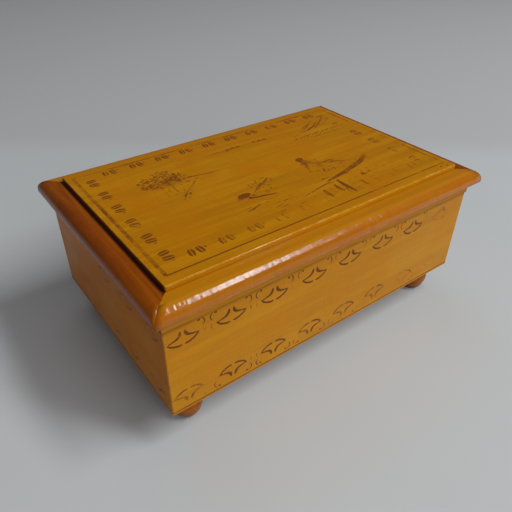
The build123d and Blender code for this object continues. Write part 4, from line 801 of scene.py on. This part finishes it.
# ------------------------------------------------------------------ the lid's printed panel
def leaf_pair(centre, along, strength):
    """Two small leaves side by side along the border's direction, 0 for X and 1 for Y, each split by its vein."""
    shapes = []
    for sign in (-1, 1):
        c = (centre[0] + (0 if along else 1.45 * sign), centre[1] + (1.45 * sign if along else 0))
        turn = math.radians(8 * sign + (0 if along else 90))
        for half in (-1, 1):
            outline = []
            for k in range(9):
                a = math.pi * k / 8
                x, y = 1.85 * math.cos(a), half * (0.16 + 0.92 * math.sin(a) ** 0.8)
                outline.append(Vector((c[0] + x * math.cos(turn) - y * math.sin(turn),
                                       c[1] + x * math.sin(turn) + y * math.cos(turn))))
            shapes.append((outline, strength * (1.0 if half > 0 else 0.86)))
    tip = (centre[0] + (0.5 if along else 3.3), centre[1] + (-3.3 if along else 0.4))
    shapes.append(oval(tip, 1.5, 0.55, math.radians(12 + (0 if along else 80)), strength * 0.72, 8))
    return shapes


BORDER_SIDE, BORDER_FRONT = 2.7, 3.9
LEAF_PITCH = 10.4


def border():
    """A ruled frame, with a row of leaf pairs inside it on all four sides."""
    x0, y0 = PANEL_L - BORDER_SIDE, PANEL_W - BORDER_FRONT
    shapes = []
    for sign in (-1, 1):
        for k in range(8):
            a, b = -x0 + 2 * x0 * k / 8, -x0 + 2 * x0 * (k + 1) / 8
            shapes.append(stroke([(a, sign * y0), (b, sign * y0)], 0.55 if sign < 0 else 0.9,
                                 0.84 - 0.03 * k if sign < 0 else 0.55))
        for k in range(5):
            a, b = -y0 + 2 * y0 * k / 5, -y0 + 2 * y0 * (k + 1) / 5
            shapes.append(stroke([(sign * x0, a), (sign * x0, b)], 1.2 if sign < 0 else 0.8,
                                 0.60 if sign < 0 else 0.50))
    for n in range(6):
        y = (n - 2.5) * LEAF_PITCH + 0.6
        shapes += leaf_pair((-x0 + 4.4, y), 1, 0.92)
        shapes += leaf_pair((x0 - 6.2, y), 1, 0.60)
    for n in range(10):
        x = (n - 4.5) * LEAF_PITCH + 0.8
        shapes += leaf_pair((x, y0 - 2.7), 0, 0.78)
        shapes += leaf_pair((x, -y0 + 5.2), 0, (0.95, 0.66, 0.64, 0.56, 0.52, 0.50, 0.50, 0.54, 0.50,
                                                0.50)[n])
    return shapes


def foliage(rng, centre, spread, count, strength, size=1.0):
    """A loose clump of small leaf strokes."""
    shapes = []
    for _ in range(count):
        a, r = rng.uniform(0, 2 * math.pi), math.sqrt(rng.random())
        x, y = centre[0] + spread[0] * r * math.cos(a), centre[1] + spread[1] * r * math.sin(a)
        shapes.append(oval((x, y), rng.uniform(0.5, 1.3) * size, rng.uniform(0.35, 0.75) * size,
                           rng.uniform(-0.9, 0.9), strength * rng.uniform(0.6, 1.0), 7))
    return shapes


def hatch(rng, start, end, length, slant, gap, width, strength):
    """Parallel strokes that hang from the line start-end, as an engraver shades a slope; slant is in degrees."""
    start, end = Vector(start), Vector(end)
    steps = int((end - start).length / gap)
    run = Vector((math.cos(math.radians(slant)), math.sin(math.radians(slant))))
    shapes = []
    for k in range(steps + 1):
        p = start.lerp(end, k / max(steps, 1)) + Vector((rng.uniform(-0.3, 0.3), rng.uniform(-0.3, 0.3)))
        reach = length * rng.uniform(0.45, 1.0)
        middle = p + run * reach * 0.5 + Vector((0, rng.uniform(-0.25, 0.25)))
        shapes.append(curve([p, middle, p + run * reach], [width * 0.4, width, width * 0.3], strength, 2))
    return shapes


def landscape():
    """A faded lakeside view: trees at the left, mountains at the right, a boat on the shore by reeds, and a rock."""
    rng = random.Random(12)
    shapes = []

    def draw(points, widths, strength, steps):
        shapes.append(curve(points, widths, strength, steps))

    def leaves(*clump):
        shapes.extend(foliage(rng, *clump))

    def shade(*slope):
        shapes.extend(hatch(rng, *slope))

    # trees: a dense crown that thins out downwards, trunks, and a low branch
    for centre, spread, count, left in (
        ((-38.5, 14.5), (4.6, 4.0), 60, 0.80), ((-32.5, 17.0), (5.0, 4.4), 96, 0.86),
        ((-28.5, 14.0), (3.8, 3.4), 54, 0.86),
        ((-35.0, 12.0), (7.0, 2.4), 60, 0.82), ((-31.0, 7.5), (5.5, 3.2), 44, 0.70),
        ((-38.5, 6.5), (3.6, 3.0), 22, 0.62),
        ((-31.5, 3.0), (3.4, 2.4), 22, 0.70), ((-33.0, -0.6), (1.4, 1.4), 8, 0.64),
        ((-22.0, 8.6), (2.2, 1.0), 12, 0.70),
    ):
        leaves(centre, spread, count, left)
    for x, lean in ((-36.5, -0.6), (-32.6, -0.6), (-29.2, -1.8)):
        draw([(x, 12), (x + lean * 0.4, 7), (x + lean, 2.2)], [0.6, 0.8, 0.4], 0.54, 3)
    draw([(-25.4, 11.6), (-21, 10.8), (-17, 10.2), (-12.6, 10.1)], [0.8, 0.62, 0.5, 0.15], 0.74, 4)
    draw([(-24.4, 8.0), (-27.8, 4.6), (-32.6, 0.6)], [0.8, 1.0, 0.6], 0.58, 4)
    leaves((-35.0, 14.5), (7.6, 5.2), 110, 0.62, 1.9)
    leaves((-31.0, 5.0), (4.6, 4.8), 60, 0.56, 1.3)
    # the far shore
    for k in range(16):
        x = -20.0 + k * 2.55
        dark = k in (7, 8, 9, 12, 13, 14)
        y = 22.3 + 0.25 * math.sin(k * 1.7)
        shapes.append(stroke([(x, y), (x + rng.uniform(1.5, 2.3), y)], 0.75 if dark else 0.40,
                             0.72 if dark else 0.56))
        if dark:
            shapes.append(oval((x + 1, y + 0.7), rng.uniform(1.2, 2.0), 0.6, 0, 0.62, 8))
    # mountains: long slanting strokes over a shaded foot
    for start, end, left in (((33.5, 18.2), (45, 22.6), 0.72), ((37, 18.6), (48, 25.0), 0.66),
                             ((41, 19.0), (53.6, 28.2), 0.70),
                             ((36.5, 22.0), (46, 26.6), 0.58), ((45, 20.6), (54, 24.6), 0.60),
                             ((27, 16.4), (36, 20.4), 0.56)):
        middle = Vector(start).lerp(Vector(end), 0.5) + Vector((0.3, -0.4))
        draw([start, middle, end], [0.35, 0.75, 0.25], left, 4)
    shade((36, 21), (52, 27), 4.5, -150, 2.0, 0.42, 0.56)
    shade((29, 15.6), (54, 16.0), 4.6, -155, 1.9, 0.62, 0.60)
    shade((33, 13.2), (54, 13.0), 3.8, -165, 2.2, 0.50, 0.54)
    # a rock with twigs, and lines in the water below it
    shapes.append(oval((-16.9, -10.9), 5.2, 2.9, 0.16, 1.0, 14))
    leaves((-16.4, -11.4), (3.6, 2.4), 34, 0.74)
    draw([(-16.2, -12.6), (-14.6, -13.8), (-10.5, -14.6), (-6.6, -15.6)], [1.3, 0.9, 0.85, 0.3], 0.86, 4)
    draw([(-21.8, -19.8), (-19.0, -19.4), (-15.6, -18.2)], [0.25, 0.65, 0.25], 0.85, 4)
    draw([(-13.2, -16.6), (-9.8, -17.6), (-7.0, -17.2)], [0.2, 0.5, 0.2], 0.66, 3)
    shade((-12.6, -11.0), (-6.0, -7.4), 7.4, 38, 1.1, 0.85, 0.60)
    leaves((-6.8, -6.6), (5.0, 3.2), 60, 0.62, 1.2)
    leaves((-9.5, -12.0), (5.0, 2.6), 34, 0.60, 0.9)
    # a boat on the shore: its peak, sides and long keel, and the reeds before it
    shapes.append(oval((15.8, -0.6), 3.6, 2.8, 0.5, 0.70, 12))
    draw([(14.8, -0.8), (16.6, -2.8), (18.6, -5.6), (22.6, -7.6), (26.6, -9.4), (29.4, -11.2)],
                        [1.6, 2.4, 1.9, 1.4, 1.0, 0.5], 0.62, 4)
    draw([(15.6, -2.2), (15.4, -5.4), (13.6, -8.4), (12.4, -11.0)], [1.6, 1.4, 1.0, 0.5], 0.60, 4)
    leaves((17.4, -5.6), (4.0, 5.0), 80, 0.62, 1.3)
    draw([(20.5, -7.4), (24, -7.0), (26.8, -7.4)], [0.5, 0.9, 0.3], 0.70, 3)
    draw([(13.2, -19.3), (20, -18.1), (28, -16.2), (34, -14.4), (39.4, -11.6)], [0.9, 1.6, 2.1, 2.2, 1.5],
         0.66, 4)
    draw([(-2, -23.0), (4, -22.0), (9, -20.9), (13.6, -20.3)], [0.3, 0.6, 0.6, 0.3], 0.68, 4)
    leaves((20.5, -10.6), (7.5, 3.4), 96, 0.62, 1.2)
    leaves((28.5, -12.4), (6.0, 2.2), 44, 0.60, 1.1)
    leaves((30.0, -22.6), (9.0, 3.0), 60, 0.52, 1.2)
    for x, top, foot, wide, left in ((16.2, -20.4, -30.2, 1.7, 0.86), (13.0, -22.4, -27.8, 1.2, 0.74),
                                     (7.4, -23.2, -28.4, 1.6, 0.70),
                                     (10.2, -23.0, -26.4, 0.7, 0.56), (23.2, -25.4, -29.6, 1.1, 0.72),
                                     (27.6, -21.6, -23.4, 2.0, 0.66),
                                     (31.0, -21.4, -22.8, 1.4, 0.62), (19.6, -22.6, -26.6, 0.6, 0.52)):
        draw([(x, top), (x - 0.4, (top + foot) / 2), (x, foot)], [wide * 0.5, wide, wide * 0.4], left, 3)
    for _ in range(60):
        x, y = rng.uniform(-28, 44), rng.uniform(-27.5, -17)
        length = rng.uniform(1.2, 4.2)
        shapes.append(stroke([(x, y), (x + length * 0.5, y + rng.uniform(-0.1, 0.3)),
                              (x + length, y + 0.12 * length)],
                             [0.15, 0.42, 0.15], rng.uniform(0.40, 0.66)))
    return shapes


PANEL_ROUND, PANEL_CORNER = 0.5, 0.9
BED, BED_ROOM = 0.6, 0.3  # the bed's depth, and its room round the lining


def rounded_ring(half_x, half_y, radius, steps=4):
    points = []
    for cx, cy, start in ((half_x, half_y, 0), (-half_x, half_y, 90), (-half_x, -half_y, 180),
                          (half_x, -half_y, 270)):
        for k in range(steps + 1):
            a = math.radians(start + 90 * k / steps)
            points.append((math.copysign(abs(cx) - radius, cx) + radius * math.cos(a),
                           math.copysign(abs(cy) - radius, cy) + radius * math.sin(a)))
    return points


def make_panel():
    """The raised panel: rounded along its top edge, a bed for the lining below, the print inlaid on top."""
    bm = bmesh.new()
    ink_layer = bm.faces.layers.float.new("ink")
    edge_layer = bm.faces.layers.float.new("edge")
    lining_high = node_box("lid_lining")[1]
    levels = [(RIM, 0.0), (LID_TOP - PANEL_ROUND, 0.0)]
    for k in range(1, 6):
        a = math.radians(90 * k / 5)
        levels.append((LID_TOP - PANEL_ROUND + PANEL_ROUND * math.sin(a),
                       PANEL_ROUND - PANEL_ROUND * math.cos(a)))
    rings, outlines = [], []
    for z, inset in levels:
        outline = rounded_ring(PANEL_L - inset, PANEL_W - inset, PANEL_CORNER - inset)
        outlines.append(outline)
        rings.append([bm.verts.new((x, y, z)) for x, y in outline])
    # The rounded top edge is marked for the lighter rubbed colour: wear, and a painted highlight along the edge.
    for k, (lower, upper) in enumerate(zip(rings, rings[1:])):
        for face in bridge(bm, lower, upper):
            face[edge_layer] = 0.0 if k == 0 else 1.0
    inlay(bm, rings[-1], outlines[-1], border() + landscape(), lambda x, y: (x, y, LID_TOP), ink_layer)
    # The underside: a rim, the bed's walls, and the bed itself.
    bed = rounded_ring(lining_high.x + BED_ROOM, lining_high.y + BED_ROOM, 0.6)
    mouth = [bm.verts.new((x, y, RIM)) for x, y in bed]
    floor = [bm.verts.new((x, y, RIM + BED)) for x, y in bed]
    for face in bridge(bm, rings[0], mouth) + bridge(bm, mouth, floor):
        face.smooth = False
    bm.faces.new(floor).smooth = False
    finish_piece("printed_panel", bm, "panel_wood", "lid", "lid_panel")


make_panel()


# ------------------------------------------------------------------ turned feet
def make_foot(place):
    """A bun foot off the lathe: pad, full belly with a fine bead above it, and neck."""
    low, high = node_box(f"foot_{place}")
    cx, cy = (low.x + high.x) / 2, (low.y + high.y) / 2
    radius, top = (high.x - low.x) / 2, high.z
    pad, neck, belly = 3.0, 3.9, 5.9
    profile = [(0.0, 0.35), (pad - 0.8, 0.35), (pad - 0.5, 0.0), (pad, 0.0)]
    profile += bulge((pad, 0.0), (radius, belly), (radius - 0.75, 2.6), 16)
    profile += bulge((radius, belly), (neck, top - 1.2), (radius - 0.55, belly + 3.0), 14)
    profile += [(neck - 0.12, top - 1.1), (neck - 0.12, top - 0.05), (0.0, top - 0.05)]
    bm = bmesh.new()
    sides = 72
    rings = []
    for r, z in profile:
        if r == 0:
            rings.append([bm.verts.new((cx, cy, z))])
        else:
            rings.append([
                bm.verts.new((cx + r * math.cos(2 * math.pi * k / sides),
                              cy + r * math.sin(2 * math.pi * k / sides), z))
                for k in range(sides)
            ])
    for lower, upper in zip(rings, rings[1:]):
        for k in range(sides):
            j = (k + 1) % sides
            if len(lower) == 1:
                face = bm.faces.new((lower[0], upper[j], upper[k]))
            elif len(upper) == 1:
                face = bm.faces.new((lower[k], lower[j], upper[0]))
            else:
                face = bm.faces.new((lower[k], lower[j], upper[j], upper[k]))
            face.smooth = len(lower) > 1 and len(upper) > 1
    MATERIALS[f"foot_{place}"] = turned_wood(f"foot_wood_{place}", (cx, cy, 0))
    finish_piece(f"bun_foot_{place}", bm, f"foot_{place}", "case", f"foot_{place}")


for place in ("front_left", "front_right", "back_left", "back_right"):
    make_foot(place)


# ================================================================== velvet linings
SWELL = 0.01  # metres in the simulation for each millimetre of a pad
SETTLE_FRAMES = 20
SURPLUS = 0.035  # more cover than core, so that it puckers by the hem
PRESSURE = 2.5
START_RISE = 0.45  # the share of the crown that a pad starts with; the cloth makes up the rest
MOST_RISE, MOST_DRIFT = 0.6, 0.35  # how far a point may move: a share of the crown, and millimetres sideways


def start_settling(coords, faces, held):
    """An enlarged copy of a pad as cloth under a soft pressure, with its back and its hem held."""
    mesh = bpy.data.meshes.new("settling")
    mesh.from_pydata([c * SWELL for c in coords], [], faces)
    cover = add_object("settling", mesh)
    cover.vertex_groups.new(name="held").add(held, 1.0, "REPLACE")
    cloth = cover.modifiers.new("cloth", "CLOTH")
    cloth.point_cache.frame_start, cloth.point_cache.frame_end = 1, SETTLE_FRAMES
    made = cloth.settings
    made.quality, made.mass = 6, 0.2
    made.tension_stiffness = made.compression_stiffness = 14
    made.shear_stiffness, made.bending_stiffness = 8, 0.4
    made.vertex_group_mass = "held"
    made.shrink_min = made.shrink_max = -SURPLUS
    made.use_pressure, made.uniform_pressure_force = True, PRESSURE
    made.effector_weights.gravity = 0
    return cover


def settled(cover):
    """Where the cover's points came to rest, in millimetres; the cover is removed."""
    bpy.context.view_layer.update()
    mesh = cover.evaluated_get(bpy.context.evaluated_depsgraph_get()).data
    coords = [v.co / SWELL for v in mesh.vertices]
    bpy.data.objects.remove(cover)
    return coords


def cap(value, limit):
    """Lets a value grow softly towards a limit."""
    return limit * math.tanh(value / limit)


def pad_shape(low, high, face_axis, face_sign, crown, cell=1.5, hem=2.0, seed=0, pull=0.35):
    """The two faces of a velvet-covered pad as grids. The front is crowned; its sides pull in between corners."""
    rng = random.Random(seed)
    size = high - low
    axes = [a for a in range(3) if a != face_axis]
    counts = [max(4, int(round(size[a] / cell))) for a in axes]
    thick = size[face_axis]
    drift = rng.uniform(0, 50)

    def place(i, j, front):
        s, t = i / counts[0], j / counts[1]
        across = [s * size[axes[0]], t * size[axes[1]]]
        reach = [min(across[0], size[axes[0]] - across[0]), min(across[1], size[axes[1]] - across[1])]
        edge = min(reach)
        p = Vector((0, 0, 0))
        for n, a in enumerate(axes):
            other = 1 - n
            belly = math.sin(math.pi * (across[other] / size[axes[other]]))
            inward = pull * belly * (1 if across[n] < size[a] / 2 else -1) * max(0.0, 1 - reach[n] / hem)
            p[a] = low[a] + across[n] + inward
        rise = 1 - math.exp(-edge / hem * 1.6)
        ripple = noise.noise(Vector((across[0] / 6.5 + drift, across[1] / 8.0, seed))) * 0.16
        ripple += noise.noise(Vector((across[0] / 2.3 + drift, across[1] / 2.6, seed + 5))) * 0.05
        if front:
            height = thick - min(0.55, thick * 0.4) * (1 - rise) + crown * rise * (1 + ripple) + ripple * rise * 0.6
        else:
            height = 0.02 + min(0.25, thick * 0.2) * max(0.0, 1 - edge / 0.8)
        p[face_axis] = low[face_axis] + height if face_sign > 0 else high[face_axis] - height
        return p

    return {
        front: [[place(i, j, front) for j in range(counts[1] + 1)] for i in range(counts[0] + 1)]
        for front in (True, False)
    }


def pad_faces(grids):
    """All points of a pad, its faces as lists of indices, and which points are held while it settles."""
    across, down = len(grids[True]), len(grids[True][0])
    offset = {True: 0, False: across * down}
    coords = [p for front in (True, False) for row in grids[front] for p in row]
    faces = []
    for front, first in offset.items():
        for i in range(across - 1):
            for j in range(down - 1):
                a = first + i * down + j
                faces.append((a, a + 1, a + down + 1, a + down) if front else (a, a + down, a + down + 1,
                                                                               a + 1))
    rim = [(i, 0) for i in range(across - 1)] + [(across - 1, j) for j in range(down - 1)]
    rim += [(i, down - 1) for i in range(across - 1, 0, -1)] + [(0, j) for j in range(down - 1, 0, -1)]
    ring = [i * down + j for i, j in rim]
    for a, b in zip(ring, ring[1:] + ring[:1]):
        faces.append((a, b, b + offset[False], a + offset[False]))
    return coords, faces, ring + list(range(offset[False], len(coords)))


def make_pads(pads):
    """Shapes every pad, lets their covers settle together as cloth, and makes the pieces."""
    shaped = []
    for node, axis, sign, crown, body in pads:
        low, high = node_box(node)
        lift = crown * START_RISE
        coords, faces, held = pad_faces(pad_shape(low, high, axis, sign, lift, seed=len(node) + axis))
        cover = start_settling(coords, faces, held)
        shaped.append((node, axis, sign, crown, body, coords, faces, cover))
    for number in range(1, SETTLE_FRAMES + 1):
        bpy.context.scene.frame_set(number)
    for node, axis, sign, crown, body, coords, faces, cover in shaped:
        if cover is not None:
            for start, end in zip(coords, settled(cover)):
                for n, moved in enumerate(end - start):
                    start[n] += cap(moved, crown * MOST_RISE if n == axis else MOST_DRIFT)
        bm = bmesh.new()
        points = [bm.verts.new(c) for c in coords]
        for face in faces:
            bm.faces.new([points[k] for k in face]).smooth = True
        piece = finish_piece(f"velvet_{node}", bm, "velvet", body, node)
        soften = piece.modifiers.new("soften", "SUBSURF")
        soften.levels = soften.render_levels = 1
    bpy.context.scene.frame_set(1)


make_pads((
    ("lining_floor", 2, 1, 0.55, "case"),
    ("lining_front", 1, 1, 0.12, "case"),
    ("lining_back", 1, -1, 0.12, "case"),
    ("lining_left", 0, 1, 0.12, "case"),
    ("lining_right", 0, -1, 0.12, "case"),
    ("lid_lining", 2, -1, 0.35, "lid"),
))


# ================================================================== stage, light and camera
CAMERA_AT = Vector((-103.35, -132.83, 141.41))
CAMERA_YAW, CAMERA_PITCH, CAMERA_ROLL = 36.92, 35.95, 0.53
LENS = 36.17
SHEET_BEND = 305  # from below the camera to where the sheet turns grey, along the view
FLOOR_DROP = -0.02


def make_floor():
    """A plain pale sheet that turns a soft grey beyond a line well behind the box."""
    g = Graph("floor_paper")
    mottle = g.noise((60, 60, 60), 3, 0.5)
    near = g.mix(mottle, (0.562, 0.586, 0.606, 1), (0.590, 0.614, 0.634, 1))
    yaw = math.radians(CAMERA_YAW)
    ahead = (math.sin(yaw), math.cos(yaw), 0)
    away = g.add("VectorMath", {0: g.place, 1: ahead}, operation="DOT_PRODUCT").outputs["Value"]
    line = (CAMERA_AT.x * ahead[0] + CAMERA_AT.y * ahead[1] + SHEET_BEND) * MM
    far = g.step(away, line - 0.006, line + 0.030)
    g.surface(Base_Color=g.mix(far, near, (0.530, 0.536, 0.552, 1)), Roughness=0.5, Specular_IOR_Level=0.3)
    bm = bmesh.new()
    bmesh.ops.create_grid(bm, x_segments=8, y_segments=8, size=3.0)
    mesh = mesh_of("floor", bm)
    mesh.materials.append(g.material)
    floor = add_object("floor", mesh)
    floor.location.z = FLOOR_DROP * MM


def softbox(name, direction, distance, size, power, colour=(1, 1, 1), glossy=True):
    """A rectangular light that faces the box from a direction."""
    lamp = bpy.data.lights.new(name, "AREA")
    lamp.shape, lamp.size, lamp.size_y = "RECTANGLE", size[0], size[1]
    lamp.energy, lamp.color = power, colour
    holder = add_object(name, lamp)
    toward = Vector(direction).normalized()
    level = (Vector((1, 0, 0)) - toward * toward.x).normalized()  # the long moulding runs along X
    holder.location = toward * distance
    holder.rotation_mode = "QUATERNION"
    holder.rotation_quaternion = Matrix((level, toward.cross(level), toward)).transposed().to_quaternion()
    holder.visible_glossy = glossy


def make_world(level):
    world = bpy.data.worlds.new("room")
    world.use_nodes = True
    world.node_tree.nodes["Background"].inputs["Color"].default_value = (*level, 1)
    bpy.context.scene.world = world


def make_camera():
    """The photograph's viewpoint: turned to the right of +Y by the yaw, and down by the pitch."""
    yaw, pitch, roll = (math.radians(a) for a in (CAMERA_YAW, CAMERA_PITCH, CAMERA_ROLL))
    ahead = Vector((math.sin(yaw) * math.cos(pitch), math.cos(yaw) * math.cos(pitch), -math.sin(pitch)))
    flat = Vector((math.cos(yaw), -math.sin(yaw), 0))
    up = flat.cross(ahead)
    right = math.cos(roll) * flat + math.sin(roll) * up
    above = -math.sin(roll) * flat + math.cos(roll) * up
    data = bpy.data.cameras.new("camera")
    data.lens, data.sensor_width = LENS, 36
    data.clip_start, data.clip_end = 0.005, 20
    camera = add_object("camera", data)
    camera.rotation_mode = "QUATERNION"
    camera.rotation_quaternion = Matrix((right, above, -ahead)).transposed().to_quaternion()
    camera.location = CAMERA_AT * MM
    bpy.context.scene.camera = camera


make_floor()
softbox("window", (0.42, -0.46, 0.78), 1.8, (0.27, 1.15), 20.6, (0.98, 0.99, 0.97))
softbox("fill", (-0.05, -1.0, 0.62), 2.4, (2.1, 1.35), 19.8, (0.96, 0.98, 1.0), glossy=False)
softbox("sky", (0.10, 0.50, 1.0), 2.2, (1.2, 1.2), 3.6, glossy=False)
softbox("warm", (-1.0, -0.30, 0.30), 1.5, (0.9, 0.9), 0.8, (1.0, 0.36, 0.12), glossy=False)
make_world((0.056, 0.056, 0.058))
make_camera()
bpy.context.scene.view_settings.view_transform = "Standard"
